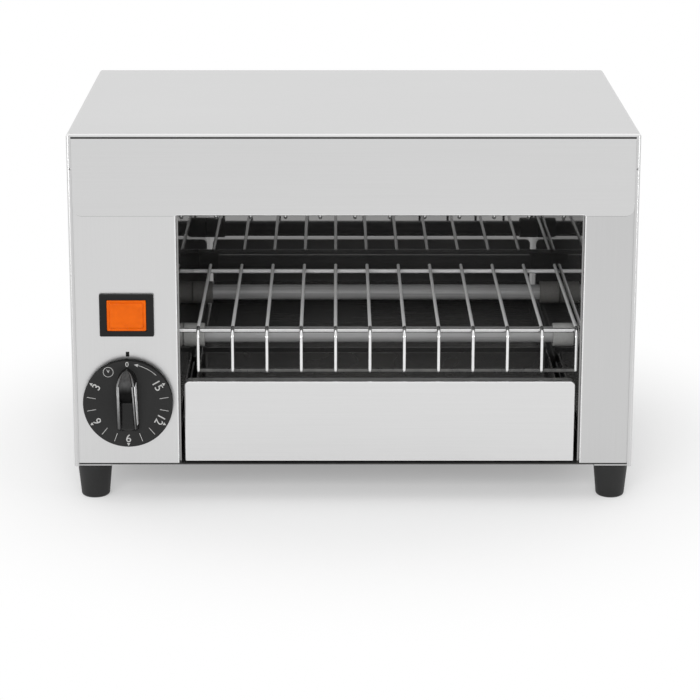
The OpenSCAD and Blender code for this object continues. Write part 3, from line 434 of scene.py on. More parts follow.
guard_mesh = grown(guard_tree, {
    "Wire foot": (first_x, apron_y, apron_rail_z + foot_lift),
    "Wire corner": (first_x, apron_y, wire_z),
    "Wire end": (first_x, guard_high.y - wire_r, wire_z),
    "Bend radius": wire_bend_r, "Wire radius": wire_r, "Rail radius": rail_r,
    "Wires": wire_count, "Pitch": (wire_pitch, 0, 0), "Weld radius": weld_r,
    "Front weld": (first_x, front_rail_y, weld_z),
    "Back weld": (first_x, back_rail_y, weld_z),
    "Apron weld": (first_x, apron_y + wire_r, apron_rail_z),
    "Apron rail start": (first_x - rail_end, apron_rail_y, apron_rail_z),
    "Apron rail end": (last_x + rail_end, apron_rail_y, apron_rail_z),
    "Front rail start": (guard_low.x, front_rail_y, rail_z),
    "Front rail end": (last_x + rail_end, front_rail_y, rail_z),
    "Apron depth": front_rail_y}, back_rail_mesh)
upper_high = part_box("upper_guard")[1]
turn_x = (guard_low.x + upper_high.x) / 2
turn_z = (guard_low.z + upper_high.z) / 2
turned_over = (Matrix.Translation((turn_x, 0, turn_z)) @ Matrix.Rotation(math.pi, 4, "Y")
               @ Matrix.Translation((-turn_x, 0, -turn_z)))
add_piece("lower_wire_guard", guard_mesh.copy(), None, "grill", ["lower_guard"])
upper_mesh = moved(guard_mesh, turned_over)
add_piece("upper_wire_guard", upper_mesh, None, "grill", ["upper_guard"])

# Outer casing
# One sheet of satin stainless steel, folded over the top and both sides, with its front edge rolled
# in. Its fine rolled grain runs across the top and on down the sides.


def satin_steel(name, dark, light, grain):
    return finish_material(
        name, even(dark), even(light), rough=(0.30, 0.36), grain=grain, cloud=6,
        depth=0.000002, metallic=1.0)


grain_round_folds = (14, 1400, 14)
casing_steel = satin_steel("casing_steel", 0.59, 0.645, grain_round_folds)
dress(casing_steel, "outer_casing")

# Front posts
# Satin stainless sheet, folded into a post on each side of the opening, with the grain upright. The
# left post carries the lamp and the timer. The folds turned aside from the front are painted bright as
# a painted highlight, and the right post is painted darker than the left as painted shade.


def softened(node, width=0.0, steps=3, every_side=False):
    form = bmesh.new()
    form.from_mesh(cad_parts[node].data)
    bmesh.ops.remove_doubles(form, verts=form.verts, dist=0.01 * MM)
    bmesh.ops.dissolve_limit(form, angle_limit=math.radians(1), verts=form.verts, edges=form.edges)
    if width:
        fold = math.radians(25)
        frontmost = -0.999
        edges = [edge for edge in form.edges
                 if len(edge.link_faces) == 2 and edge.calc_face_angle() > fold]
        if not every_side:
            edges = [edge for edge in edges
                     if any(face.normal.y < frontmost for face in edge.link_faces)]
        bmesh.ops.bevel(form, geom=edges, offset=width, offset_type="OFFSET", segments=steps,
                        profile=0.5, affect="EDGES", clamp_overlap=True)
    mesh = bpy.data.meshes.new(node)
    form.to_mesh(mesh)
    form.free()
    return mesh


# painted highlight: faces turned aside from the front, but not upwards, get a brighter steel
def rubbed_edges(mesh, steel):
    for metal in (steel, rubbed_steel):
        mesh.materials.append(metal)
    for face in mesh.polygons:
        turned_aside = -0.97 < face.normal.y < -0.15
        if turned_aside and face.normal.z < 0.3:
            face.material_index = 1
    return mesh


upright_grain = (1400, 1400, 14)
post_steel = satin_steel("post_steel", 0.665, 0.695, upright_grain)
# painted shade: the right post's steel is darker than the left post's
pillar_steel = satin_steel("pillar_steel", 0.58, 0.61, upright_grain)
rubbed_steel = finish_material(
    "rubbed_steel", dark=even(0.84), light=even(0.92), rough=(0.18, 0.26),
    grain=even(300), cloud=30, metallic=1.0)
left_post = rubbed_edges(softened("control_panel"), post_steel)
right_post = rubbed_edges(softened("right_pillar"), pillar_steel)
add_piece("control_post", left_post, None, "grill", ["control_panel"])
add_piece("right_post", right_post, None, "grill", ["right_pillar"])

# Front header
# A satin stainless plate over the opening, with rounded edges and round lower corners, set against
# the posts so that it stands proud of them. Its rounded edges are painted bright as a painted
# highlight, and a thin dark film on the posts along its lower edge is a painted shadow.


def flat_film(outlines, sink, thickness):
    form = bmesh.new()
    for outline in outlines:
        back = [form.verts.new((x * MM, sink * MM, z * MM)) for x, z in outline]
        front = [form.verts.new((x * MM, (sink - thickness) * MM, z * MM)) for x, z in outline]
        count = len(outline)
        form.faces.new(back)
        form.faces.new(list(reversed(front)))
        for i in range(count):
            form.faces.new((back[i], front[i], front[(i + 1) % count], back[(i + 1) % count]))
    bmesh.ops.recalc_face_normals(form, faces=form.faces)
    mesh = bpy.data.meshes.new("film")
    form.to_mesh(mesh)
    form.free()
    return mesh


def band(near, far):
    return [[near[i], near[i + 1], far[i + 1], far[i]] for i in range(len(near) - 1)]


level_grain = (14, 1400, 1400)
header_steel = satin_steel("header_steel", 0.655, 0.685, level_grain)
header_edge = 0.7 * MM
header_edge_steps = 4
header_rise = 0.7 * MM
header_spread = 0.35 * MM
corner_r = 5.5
header_low, header_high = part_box("header_panel")
header = softened("header_panel", header_edge, header_edge_steps)
for vertex in header.vertices:
    if vertex.co.z > header_high.z - 2 * header_edge:
        vertex.co.z += header_rise
    nearness = max(0.0, 1 - (header_high.x - abs(vertex.co.x)) / (corner_r * MM))
    vertex.co.x += math.copysign(header_spread * nearness, vertex.co.x)
# painted highlight on the header's rounded edges
header = rubbed_edges(header, header_steel)
add_piece("front_header", header, None, "grill", ["header_panel"])

# painted shadow: a thin dark film laid on the posts under the header's lower edge
joint_dust = finish_material(
    "joint_dust", dark=even(0.22), light=even(0.34), rough=(0.45, 0.60),
    grain=even(300), cloud=60, metallic=0.8)
joint_w = 0.4
joint_sink = 0.03
joint_t = 0.05
joint_corner = (-20, -90)
joint_steps = 10
post_fold = 1.6
post_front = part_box("control_panel")[0].y
joint_centre = (header_high.x / MM - corner_r, header_low.z / MM + corner_r)
joint_z = header_low.z / MM
joint_ends = {
    -1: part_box("control_panel")[1].x / MM - post_fold,
    1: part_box("right_pillar")[0].x / MM + post_fold}
joint_quads = []
for side, inner_end in joint_ends.items():
    upper = [*arc(joint_centre, corner_r, *joint_corner, joint_steps), (side * inner_end, joint_z)]
    lower = [*arc(joint_centre, corner_r + joint_w, *joint_corner, joint_steps),
             (side * inner_end, joint_z - joint_w)]
    joint_quads += [[(side * x, z) for x, z in quad] for quad in band(upper, lower)]
joint_line = moved(flat_film(joint_quads, joint_sink, joint_t), Matrix.Translation((0, post_front, 0)))
add_piece("header_joint_line", joint_line, joint_dust, "grill")

# Crumb tray
# A folded front plate with a rim round its sides and top, and a shallow pan behind it, darkened by
# the heat, that slides on the two angles over the base pan.
tray_steel = satin_steel("tray_steel", 0.705, 0.74, level_grain)
pan_steel = finish_material(
    "pan_steel", dark=even(0.17), light=(0.25, 0.245, 0.24), rough=(0.18, 0.32),
    grain=(30, 500, 30), cloud=14, depth=0.000003, metallic=0.88)
dress(tray_steel, "tray_front")
dress(pan_steel, "tray_pan")

# Timer
# Clockwork timer behind the control post: a closed nylon case on a zinc-plated plate, held by screws,
# with brass tabs at its back and a steel shaft that goes out through the post.
white_nylon = finish_material(
    "white_nylon", dark=(0.62, 0.61, 0.58), light=(0.72, 0.71, 0.68), rough=(0.45, 0.60),
    grain=even(900), cloud=30, depth=0.00001)
dress(white_nylon, "timer_case")
dress(zinc_plate, "timer_plate", "timer_shaft", "timer_screws")
dress(bare_brass, "timer_tabs")

# Timer knob
# A black moulded dial that turns with the shaft, in one piece with a grooved grip bar. The bar has a
# hooded pointed end. Pale painted highlights lie on its crests and on one flank, its groove is painted
# darker as painted shade with a painted sheen at the top of the hood, and the dial's side is painted
# darker as painted shade.


def loft(sections, paint=None):
    form = bmesh.new()
    rings = [[form.verts.new(point) for point in section] for section in sections]
    for station, (near, far) in enumerate(zip(rings, rings[1:])):
        count = len(near)
        for i in range(count):
            face = form.faces.new((near[i], near[(i + 1) % count], far[(i + 1) % count], far[i]))
            if paint:
                face.material_index = paint(station, i)
    form.faces.new(list(reversed(rings[0])))
    form.faces.new(rings[-1])
    bmesh.ops.recalc_face_normals(form, faces=form.faces)
    mesh = bpy.data.meshes.new("loft")
    form.to_mesh(mesh)
    form.free()
    return mesh


def height_at(points, place):
    slopes = [0.0] * len(points)
    for i in range(1, len(points) - 1):
        slopes[i] = (points[i + 1][1] - points[i - 1][1]) / (points[i + 1][0] - points[i - 1][0])
    for i, ((a, low), (b, high)) in enumerate(zip(points, points[1:])):
        if place <= b:
            t = (place - a) / (b - a)
            bend = (b - a) * t * (1 - t) * ((1 - t) * slopes[i] - t * slopes[i + 1])
            return low + (high - low) * t * t * (3 - 2 * t) + bend
    return points[-1][1]


def combined(mesh, other, operation):
    objects = [bpy.data.objects.new("combined", part) for part in (mesh, other)]
    for part in objects:
        bpy.context.scene.collection.objects.link(part)
    modifier = objects[0].modifiers.new("combined", "BOOLEAN")
    modifier.operation = operation
    modifier.solver = "EXACT"
    modifier.material_mode = "TRANSFER"
    modifier.object = objects[1]
    depsgraph = bpy.context.evaluated_depsgraph_get()
    made = bpy.data.meshes.new_from_object(objects[0].evaluated_get(depsgraph), depsgraph=depsgraph)
    for part in objects:
        bpy.data.objects.remove(part)
    return made


def black_plastic(name, dark, light, rough, grain, depth, gloss):
    return finish_material(
        name, even(dark), even(light), rough, even(grain), cloud=30, depth=depth,
        Specular_IOR_Level=gloss)


knob_low, knob_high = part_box("timer_knob")
dial_centre_z = (knob_low.z + knob_high.z) / 2
dial_r = (knob_high.x - knob_low.x) / 2 / MM
dial_t = 5.0
dial_draft = 0.2
dial_wall = 2.5
dial_sides = 128
rim_r = 0.6
rim_steps = 6
hub_r = 7.0
grip_tip = 25.3
grip_tail = 18.2
grip_steps = 85
grip_least_half = 0.3
grip_full_half = 5
shoulder_z = 16.3
shoulder_half = 6.1
tail_half = 6.9
tail_r = 2.0
hood_start = 1.8
hood_shade_start = 11
hood_shade_end = 19
thumb_start = -13.2
thumb_end = 8
crest_start = -17.0
# Heights over the dial at places along the grip, and a crest's rounding as steps inwards and down
ridge_heights = [
    (-grip_tail, 1.6), (-17.0, 3.0), (-15.2, 4.7), (shoulder_z, 15.5), (17.3, 15.8), (18.3, 15.5),
    (19.8, 14.0), (grip_tip, 6.3)]
groove_heights = [
    (-grip_tail, 1.1), (-17.0, 2.0), (-14.6, 2.8), (-0.2, 4.2), (hood_start, 4.7), (3.8, 7.0),
    (6.8, 10.4), (10.8, 13.0), (14.8, 14.3), (17.3, 14.5), (19.8, 13.0), (grip_tip, 5.5)]
crest_rounding = [
    (0.0, 1.3), (0.12, 0.75), (0.4, 0.3), (0.85, 0.05), (1.3, 0.0), (1.75, 0.1), (2.15, 0.45),
    (2.4, 1.0)]


def grip_half_width(z):
    rise = grip_tip - shoulder_z
    arch_r = (shoulder_half ** 2 + rise ** 2) / (2 * shoulder_half)
    if z > shoulder_z:
        return shoulder_half - arch_r + math.sqrt(arch_r ** 2 - (z - shoulder_z) ** 2)
    side = shoulder_half + (tail_half - shoulder_half) * (shoulder_z - z) / (shoulder_z + grip_tail)
    below = max(0.0, tail_r - grip_tail - z)
    return side - tail_r + math.sqrt(tail_r ** 2 - below ** 2)


def grip_section(z):
    half = max(grip_half_width(z), grip_least_half)
    ridge = height_at(ridge_heights, z)
    groove = height_at(groove_heights, z)
    size = min(1.0, half / grip_full_half)
    flank = [(half + 0.4 * size, -1.0), (half + 0.35 * size, 0.2), (half + 0.2 * size, 0.25 * ridge)]
    crest = [(half - across * size, max(ridge - down * size, groove))
             for across, down in crest_rounding]
    inside = [(half - 2.7 * size, groove + 0.25 * (ridge - groove)), (half - 3.1 * size, groove)]
    right_half = flank + crest + inside
    left_half = [(-x, h) for x, h in reversed(right_half)]
    return [(x * MM, -h * MM, z * MM) for x, h in right_half + left_half]


# painted light: a grey that grades with height on the knob, for painted highlights, shade and sheen
def worn_plastic(name, heights, greys, rough, gloss):
    made, tree, shader = start_material(name)
    place = add_node(tree, "ShaderNodeTexCoord").outputs["Object"]
    height = add_node(tree, "ShaderNodeSeparateXYZ", {"Vector": place}).outputs["Z"]
    start, end = [dial_centre_z + z * MM for z in heights]
    light_ramp = add_node(tree, "ShaderNodeMapRange", {
        "Value": height, "From Min": start, "From Max": end, "To Min": greys[0], "To Max": greys[1]},
        interpolation_type="SMOOTHSTEP").outputs["Result"]
    scuffs = noise(tree, (600, 600, 150))
    uneven = spread(tree, scuffs, 0.75, 1.25)
    grey = add_node(tree, "ShaderNodeMath", {0: light_ramp, 1: uneven}, operation="MULTIPLY").outputs[0]
    tree.links.new(grey, shader.inputs["Base Color"])
    tree.links.new(spread(tree, uneven, *rough), shader.inputs["Roughness"])
    shader.inputs["Specular IOR Level"].default_value = gloss
    return made


glossy_black = black_plastic(
    "glossy_black", 0.005, 0.009, rough=(0.20, 0.28), grain=900, depth=0.000004, gloss=0.28)
# Crests and the right flank get pale painted highlights; the groove gets painted shade and a painted
# sheen near the hood's top.
worn_crest = worn_plastic(
    "worn_crest", heights=(-grip_tail, shoulder_z), greys=(0.06, 0.30), rough=(0.30, 0.40), gloss=0.4)
hood_black = worn_plastic(
    "hood_black", heights=(hood_shade_start, hood_shade_end), greys=(0.003, 0.06), rough=(0.40, 0.55),
    gloss=0.06)
thumb_worn = worn_plastic(
    "thumb_worn", heights=(-grip_tail, thumb_end), greys=(0.50, 0.80), rough=(0.25, 0.35), gloss=0.5)
dull_crest = worn_plastic(
    "dull_crest", heights=(shoulder_z, grip_tip), greys=(0.17, 0.04), rough=(0.30, 0.40), gloss=0.4)
grip_finishes = [glossy_black, worn_crest, hood_black, thumb_worn, dull_crest]
plain_slot, crest_slot, hood_slot, thumb_slot, arch_slot = range(len(grip_finishes))
stations = [-grip_tail + (grip_tip + grip_tail) * i / grip_steps for i in range(grip_steps + 1)]
thumb_faces = {2, 3, 4}
crest_faces = {7, 8, 17, 18, 19, 20, 21, 22}
arch_faces = {5, 6, 18, 19, 20}
groove_faces = {9, 10, 11, 12, 13, 14, 15, 16}


def grip_paint(station, face):
    z = stations[station]
    if z > shoulder_z and face in arch_faces:
        return arch_slot
    if face in groove_faces and z > hood_start:
        return hood_slot
    if face in crest_faces and crest_start < z <= shoulder_z:
        return crest_slot
    if face in thumb_faces and thumb_start < z <= shoulder_z:
        return thumb_slot
    return plain_slot


grip = loft([grip_section(z) for z in stations], grip_paint)
for plastic in grip_finishes:
    grip.materials.append(plastic)
dial_back_r = dial_r - dial_draft
dial_outline = [
    (0, 0), (dial_r - rim_r, 0), *arc((dial_r - rim_r, -rim_r), rim_r, 90, 0, rim_steps),
    (dial_back_r, -dial_t), (dial_back_r - dial_wall, -dial_t), (dial_back_r - dial_wall, -dial_wall),
    (hub_r, -dial_wall), (hub_r, -dial_t), (0, -dial_t)]
facing_front = Matrix.Rotation(math.radians(90), 4, "X")
dial = moved(lathe(scaled(dial_outline, MM), dial_sides), facing_front)
dial_black = black_plastic(
    "dial_black", 0.014, 0.021, rough=(0.34, 0.46), grain=1800, depth=0.00001, gloss=0.18)
# painted shade: the dial's side gets a darker, duller black
flank_black = black_plastic(
    "flank_black", 0.003, 0.006, rough=(0.50, 0.65), grain=900, depth=0.000004, gloss=0.03)
for plastic in (dial_black, flank_black):
    dial.materials.append(plastic)
flank_from = (dial_r - 1) * MM
for face in dial.polygons:
    faces_aside = abs(face.normal.y) < 0.6
    if faces_aside and math.hypot(face.center.x, face.center.z) > flank_from:
        face.material_index = 1
knob = combined(dial, grip, "UNION")
dial_face = Vector(((knob_low.x + knob_high.x) / 2, knob_high.y - dial_t * MM, dial_centre_z))
at_dial = Matrix.Translation(dial_face)
knob.transform(at_dial)
add_piece("timer_dial_knob", knob, None, "timer_dial", ["timer_knob"], sharp=40)

# Dial print
# White ink, printed on the dial and turning with it: a small zero, the minutes with their pointers,
# ticks between them, a clock sign and an arrow that shows which way to turn.
white_ink = finish_material(
    "white_ink", dark=(0.33, 0.33, 0.325), light=(0.44, 0.44, 0.43), rough=(0.45, 0.60),
    grain=even(1500), cloud=200)
ink_t = 0.06
ink_sink = 0.03
ink_spread = 0.03
type_scale = 1.37
minute_marks = (3, 6, 9, 12, 15)
minute_turn = math.radians(20)
zero_h = 3.5
zero_r = 27.5
number_h = 5.7
number_r = 23.6
pointer_r = 27.2
tick_r = 24.6


def printed(outlines):
    return flat_film(outlines, ink_sink, ink_t)


def about_axis(angle, radius):
    turn = Matrix.Rotation(-angle, 4, "Y")
    return turn @ Matrix.Translation((0, 0, radius * MM))


def digits(text, height):
    curve = bpy.data.curves.new("digits", "FONT")
    curve.body = text
    curve.size = height * MM * type_scale
    curve.align_x = "CENTER"
    curve.align_y = "CENTER"
    curve.extrude = ink_t / 2 * MM
    curve.offset = ink_spread * MM
    curve.resolution_u = 3
    holder = bpy.data.objects.new("digits", curve)
    bpy.context.scene.collection.objects.link(holder)
    depsgraph = bpy.context.evaluated_depsgraph_get()
    mesh = bpy.data.meshes.new_from_object(holder.evaluated_get(depsgraph), depsgraph=depsgraph)
    bpy.data.objects.remove(holder)
    middle = sum((vertex.co for vertex in mesh.vertices), Vector()) / len(mesh.vertices)
    mesh.transform(Matrix.Translation((-middle.x, 0, 0)))
    mesh.transform(facing_front)
    mesh.transform(Matrix.Translation((0, (ink_sink - ink_t / 2) * MM, 0)))
    return mesh


print_parts = [moved(digits("0", zero_h), about_axis(0, zero_r))]
pointer = printed([[(-1.1, 0), (1.1, 0), (0, 2.0)]])
for minute in minute_marks:
    print_parts.append(moved(digits(str(minute), number_h), about_axis(minute * minute_turn, number_r)))
    print_parts.append(moved(pointer, about_axis(minute * minute_turn, pointer_r)))
tick = printed([[(-0.18, -3.0), (0.18, -3.0), (0.18, 3.0), (-0.18, 3.0)]])
for minute in range(minute_marks[0] + 1, minute_marks[-1]):
    if minute not in minute_marks:
        print_parts.append(moved(tick, about_axis(minute * minute_turn, tick_r)))

clock_r = 3.5
clock_line = 0.36
clock_steps = 32
clock_turn = math.radians(29.5)
clock_from_axis = 25.6
clock_outside = arc((0, 0), clock_r, 0, 360, clock_steps)
clock_inside = arc((0, 0), clock_r - clock_line, 0, 360, clock_steps)
clock_ring = band(clock_outside, clock_inside)
clock_hands = [
    [(-0.2, -0.3), (0.2, -0.3), (0.2, 2.0), (-0.2, 2.0)],
    [(0.2, -0.3), (1.55, 0.95), (1.3, 1.25), (0.2, 0.25)]]
print_parts.append(moved(printed(clock_ring + clock_hands), about_axis(clock_turn, clock_from_axis)))

arrow_r = 27.8
arrow_line = 0.32
arrow_span = (90 - 44, 90 - 15)
arrow_steps = 16
arrow_head_turn = math.radians(-13)
arrow_bow = band(arc((0, 0), arrow_r + arrow_line / 2, *arrow_span, arrow_steps),
                 arc((0, 0), arrow_r - arrow_line / 2, *arrow_span, arrow_steps))
arrow_head = printed([[(-1.6, 0), (1.0, -1.2), (1.0, 1.2)]])
print_parts.append(printed(arrow_bow))
print_parts.append(moved(arrow_head, about_axis(arrow_head_turn, arrow_r)))
add_piece("dial_print", moved(joined(print_parts), at_dial), white_ink, "timer_dial")

# Index mark
# A small black bar, printed on the control post over the dial, that the minutes are read at.
# The ink is a thin film on the steel and stays still when the dial turns.
black_ink = finish_material(
    "black_ink", dark=even(0.005), light=even(0.009), rough=(0.5, 0.65),
    grain=even(900), cloud=200, Specular_IOR_Level=0.1)
index_half_w = 1.15
index_half_h = 1.7
index_over_dial = 2.9
index_mark = printed([[
    (-index_half_w, -index_half_h), (index_half_w, -index_half_h),
    (index_half_w, index_half_h), (-index_half_w, index_half_h)]])
index_place = Matrix.Translation((dial_face.x, post_front, knob_high.z + index_over_dial * MM))
add_piece("dial_index_mark", moved(index_mark, index_place), black_ink, "grill")

# Pilot lamp
# A black moulded frame clipped into the control post, with an amber lens pushed into it. The lens has
# a low rim and a raised field, and the nylon lamp holder with its two brass tabs sits behind.


def rounded_rectangle(half_w, half_h, radius, steps=4):
    corners = []
    for side, up, start in ((1, 1, 0), (-1, 1, 90), (-1, -1, 180), (1, -1, 270)):
        centre = (side * (half_w - radius), up * (half_h - radius))
        corners += arc(centre, radius, start, start + 90, steps)
    return corners


moulded_black = black_plastic(
    "moulded_black", 0.007, 0.012, rough=(0.34, 0.46), grain=1800, depth=0.00001, gloss=0.18)
amber_plastic = finish_material(
    "amber_plastic", dark=(0.54, 0.082, 0.001), light=(0.66, 0.112, 0.002), rough=(0.16, 0.24),
    grain=even(260), cloud=90, depth=0.00002, Specular_IOR_Level=0.12)
dress(white_nylon, "lamp_body")
dress(bare_brass, "lamp_tabs")
lamp_frame_edge = 0.25 * MM
lamp_frame = softened("lamp_bezel", lamp_frame_edge, every_side=True)
add_piece("lamp_frame", lamp_frame, moulded_black, "grill", ["lamp_bezel"])

lens_low, lens_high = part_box("lamp_lens")
lens_half = (lens_high - lens_low) / 2 / MM
lens_t = (lens_high.y - lens_low.y) / MM
lens_corner_r = 0.8
lens_steps = [
    (0, lens_t), (0, 0.9), (0.3, 0.6), (1.3, 0.6), (1.5, 0.85), (1.8, 0.85), (2.0, 0.4), (2.5, 0.1),
    (3.2, 0)]
lens_rings = []
for inset, depth in lens_steps:
    ring = rounded_rectangle(lens_half.x - inset, lens_half.z - inset, lens_corner_r)
    lens_rings.append([(x * MM, depth * MM, z * MM) for x, z in ring])
lens_x = (lens_low.x + lens_high.x) / 2
lens_z = (lens_low.z + lens_high.z) / 2
lens = moved(loft(lens_rings), Matrix.Translation((lens_x, lens_low.y, lens_z)))
add_piece("lamp_window", lens, amber_plastic, "grill", ["lamp_lens"], sharp=50)

# Feet
# Black rubber cones, narrower at the floor and with a round lower edge. Each is held by a pan-head
# screw in its recess and a nut over the base pan.
foot_rubber = finish_material(
    "foot_rubber", dark=even(0.011), light=even(0.020), rough=(0.45, 0.62),
    grain=even(1200), cloud=60, depth=0.00003, Specular_IOR_Level=0.3)
dress(zinc_plate, "foot_nuts")
foot_h = 25.0
foot_top_r = 11.75
foot_floor_r = 9.65
foot_taper = 4
foot_draft = 0.03
foot_edge_r = 2.2
foot_edge_steps = 8
foot_top_edge = 0.5
foot_top_steps = 4
foot_sides = 64
foot_hole_r = 2.6
recess_r = 5.5
recess_h = 11.0
recess_edge = 0.4
foot_outline = [
    (foot_hole_r, recess_h), (recess_r, recess_h), (recess_r, recess_edge), (recess_r + recess_edge, 0),
    *arc((foot_floor_r - foot_edge_r, foot_edge_r), foot_edge_r, -90, -foot_taper, foot_edge_steps),
    (foot_top_r - foot_draft, foot_h - 2 * foot_top_edge),
    *arc((foot_top_r - foot_top_edge, foot_h - foot_top_edge), foot_top_edge, 0, 90, foot_top_steps),
    (foot_hole_r, foot_h), (foot_hole_r, recess_h)]
foot_mesh = lathe(scaled(foot_outline, MM), foot_sides)
foot_spots = []
for foot in [end + "_" + side + "_foot" for end in ("front", "rear") for side in ("left", "right")]:
    foot_low, foot_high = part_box(foot)
    spot = Vector(((foot_low.x + foot_high.x) / 2, (foot_low.y + foot_high.y) / 2, 0))
    foot_spots.append(spot)
    rubber = moved(foot_mesh, Matrix.Translation(spot))
    add_piece("rubber_" + foot, rubber, foot_rubber, "grill", [foot])

# Back panel and screws
# A flat satin stainless plate with two blocks of air slots, held by zinc-plated pan-head screws with
# cross recesses. The same kind of screw, but larger, holds the feet.
screw_sides = 32


def pan_head_screw(head_r, head_h, shank_r, shank_l):
    rim_h = 0.35 * head_h
    tip = 0.5 * shank_r
    turns = [math.radians(degrees) for degrees in range(0, 90, 10)]
    crown = [(head_r * math.cos(a), rim_h + (head_h - rim_h) * math.sin(a)) for a in turns]
    outline = [(0, -shank_l), (tip, -shank_l), (shank_r, tip - shank_l), (shank_r, 0), (head_r, 0),
               *crown, (0, head_h)]
    cross_l = 1.1 * head_r
    cross_w = 0.28 * head_r
    cutter = bmesh.new()
    for size in ((cross_w, cross_l, head_h), (cross_l, cross_w, head_h)):
        arm = bmesh.ops.create_cube(cutter, size=1.0)["verts"]
        bmesh.ops.scale(cutter, vec=Vector(size) * MM, verts=arm)
        bmesh.ops.translate(cutter, vec=(0, 0, head_h * MM), verts=arm)
    cross = bpy.data.meshes.new("cross")
    cutter.to_mesh(cross)
    cutter.free()
    return combined(lathe(scaled(outline, MM), screw_sides), cross, "DIFFERENCE")


screw_tree, screw_input = start_tree("screw_pattern", {"Screw": "Object", "Turn": "Rotation"})
screw_shape = add_node(screw_tree, "GeometryNodeObjectInfo", {
    "Object": screw_input["Screw"], "As Instance": True})
screws = add_node(screw_tree, "GeometryNodeInstanceOnPoints", {
    "Points": screw_input["Geometry"], "Instance": screw_shape.outputs["Geometry"],
    "Rotation": screw_input["Turn"]})
plated_screws = painted(screw_tree, screws.outputs["Instances"], zinc_plate)
add_node(screw_tree, "NodeGroupOutput", {"Geometry": plated_screws})


def screw_group(name, screw_mesh, spots, turn, node):
    screw = bpy.data.objects.new("screw", screw_mesh)
    bpy.context.scene.collection.objects.link(screw)
    points = bpy.data.meshes.new("screw_spots")
    points.from_pydata(spots, [], [])
    mesh = grown(screw_tree, {"Screw": screw, "Turn": turn}, points)
    bpy.data.objects.remove(screw)
    add_piece(name, mesh, None, "grill", [node], sharp=30)


back_steel = satin_steel("back_steel", 0.59, 0.645, level_grain)
dress(back_steel, "back_panel")
back_head_r = 3.5
back_screw = pan_head_screw(head_r=back_head_r, head_h=2.0, shank_r=1.7, shank_l=5.0)
screws_low, screws_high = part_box("back_screws")
panel_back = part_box("back_panel")[1].y
screw_x = screws_high.x - back_head_r * MM
screw_zs = (screws_low.z + back_head_r * MM, screws_high.z - back_head_r * MM)
back_spots = [(side * screw_x, panel_back, z) for side in (-1, 0, 1) for z in screw_zs]
back_spots += [(side * screw_x, panel_back, sum(screw_zs) / 2) for side in (-1, 1)]
facing_back = (math.radians(-90), 0, 0)
screw_group("back_panel_screws", back_screw, back_spots, facing_back, "back_screws")

foot_screw_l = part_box("foot_screws")[1].z / MM - recess_h
foot_screw = pan_head_screw(head_r=5.2, head_h=3.0, shank_r=2.4, shank_l=foot_screw_l)
foot_screw_spots = [(spot.x, spot.y, recess_h * MM) for spot in foot_spots]
facing_down = (math.pi, 0, 0)
screw_group("foot_pan_screws", foot_screw, foot_screw_spots, facing_down, "foot_screws")

# Mains connection
# A black nylon gland for a mains lead, with a hexagon, a ribbed cap and a lock nut inside the back
# panel. The lead would end at the nylon terminal block and the brass earth stud.
dress(moulded_black, "gland_nut", "cable_gland")
dress(white_nylon, "terminal_block")
dress(bare_brass, "earth_stud")

# Studio
# A white floor that fades into a white surround. A large soft light hangs overhead, a box that the
# metal doesn't mirror stands in front, and two low strips at the sides brighten the casing's edges.


def seen_rays(tree):
    path = add_node(tree, "ShaderNodeLightPath").outputs
    direct = add_node(tree, "ShaderNodeMath", {0: path["Is Camera Ray"], 1: path["Is Glossy Ray"]},
                      operation="ADD").outputs[0]
    through = add_node(tree, "ShaderNodeMath", {0: direct, 1: path["Is Transmission Ray"]},
                       operation="ADD", use_clamp=True)
    return through.outputs[0]


light_level = 0.55
world = bpy.data.worlds.new("surround")
world.use_nodes = True
bpy.context.scene.world = world
surround = world.node_tree
level = add_node(surround, "ShaderNodeMapRange", {
    "Value": seen_rays(surround), "To Min": light_level, "To Max": 1.0})
backdrop = surround.nodes["Background"]
backdrop.inputs["Color"].default_value = (1, 1, 1, 1)
surround.links.new(level.outputs["Result"], backdrop.inputs["Strength"])

floor_half = 6.0
fade_start = 0.16
fade_end = 0.37
fade_least = 0.3
floor_corners = [(x * floor_half, y * floor_half, 0) for x, y in ((-1, -1), (1, -1), (1, 1), (-1, 1))]
floor_mesh = bpy.data.meshes.new("floor")
floor_mesh.from_pydata(floor_corners, [], [(0, 1, 2, 3)])
floor = bpy.data.objects.new("floor", floor_mesh)
bpy.context.scene.collection.objects.link(floor)
floor_white, floor_tree, floor_shader = start_material("floor_white")
floor_shader.inputs["Base Color"].default_value = (0.92, 0.92, 0.92, 1)
floor_shader.inputs["Roughness"].default_value = 0.9
floor_place = add_node(floor_tree, "ShaderNodeTexCoord").outputs["Object"]
away = add_node(floor_tree, "ShaderNodeVectorMath", {0: floor_place},
                operation="LENGTH").outputs["Value"]
fade = add_node(floor_tree, "ShaderNodeMapRange", {
    "Value": away, "From Min": fade_start, "From Max": fade_end, "To Min": fade_least},
    interpolation_type="SMOOTHSTEP").outputs["Result"]
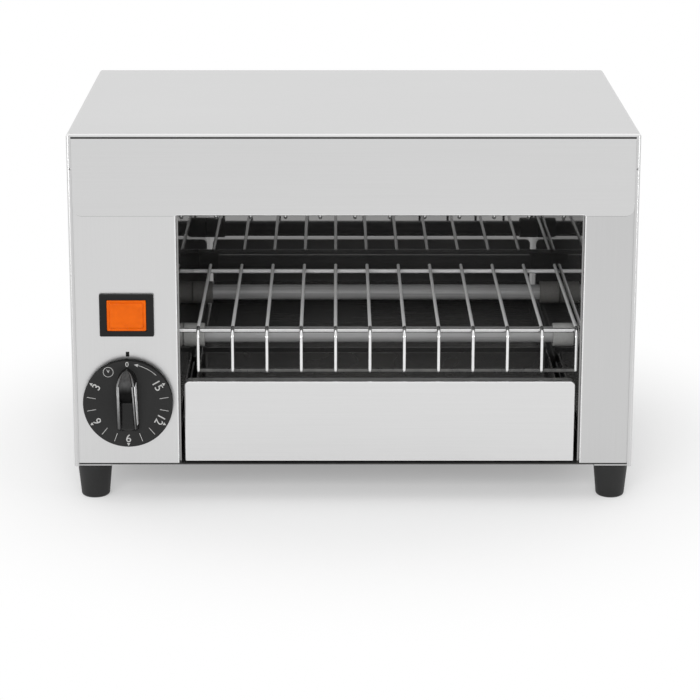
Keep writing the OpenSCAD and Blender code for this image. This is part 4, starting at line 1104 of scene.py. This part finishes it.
white_share = add_node(floor_tree, "ShaderNodeMath", {0: fade, 1: seen_rays(floor_tree)},
                       operation="MULTIPLY").outputs[0]
glow = add_node(floor_tree, "ShaderNodeEmission", {"Color": (1, 1, 1, 1), "Strength": 1.0})
faded = add_node(floor_tree, "ShaderNodeMixShader", {
    0: white_share, 1: floor_shader.outputs["BSDF"], 2: glow.outputs["Emission"]})
floor_tree.links.new(faded.outputs["Shader"], floor_tree.nodes["Material Output"].inputs["Surface"])
floor_mesh.materials.append(floor_white)

light_aim = (Vector(cad_corners[0]) + Vector(cad_corners[1])) / 2


def soft_light(name, place, size, power, mirrored=True):
    light = bpy.data.lights.new(name, "AREA")
    light.shape = "RECTANGLE"
    light.size, light.size_y = size
    light.energy = power
    holder = bpy.data.objects.new(name, light)
    holder.location = place
    holder.visible_glossy = mirrored
    holder.rotation_mode = "QUATERNION"
    holder.rotation_quaternion = (light_aim - Vector(place)).to_track_quat("-Z", "Y")
    bpy.context.scene.collection.objects.link(holder)


soft_light("overhead", place=(0.1, -0.2, 1.7), size=(1.6, 1.6), power=4)
soft_light("front_box", place=(-0.3, -2.1, 1.05), size=(1.8, 0.9), power=35, mirrored=False)
soft_light("left_strip", place=(-1.05, -0.5, 0.13), size=(0.2, 0.22), power=0.9)
soft_light("right_strip", place=(1.05, -0.5, 0.13), size=(0.14, 0.22), power=0.7)

# Camera
# It stands in front of the grill and above it, and looks down on it by about 14 degrees.
# The shift only brings the object to its place in the square picture.
picture_width = 700
focal_pixels = 2479.0
camera_pitch = math.radians(14.38)
camera_data = bpy.data.cameras.new("camera")
camera_data.sensor_width = 36
camera_data.lens = focal_pixels / picture_width * camera_data.sensor_width
camera_data.shift_x = 0.0195
camera_data.shift_y = -0.12
camera = bpy.data.objects.new("camera", camera_data)
camera.location = (-0.0112, -1.7018, 0.5701)
camera.rotation_euler = (math.radians(90) - camera_pitch, 0, 0)
bpy.context.scene.collection.objects.link(camera)
bpy.context.scene.camera = camera
bpy.context.scene.view_settings.view_transform = "Standard"
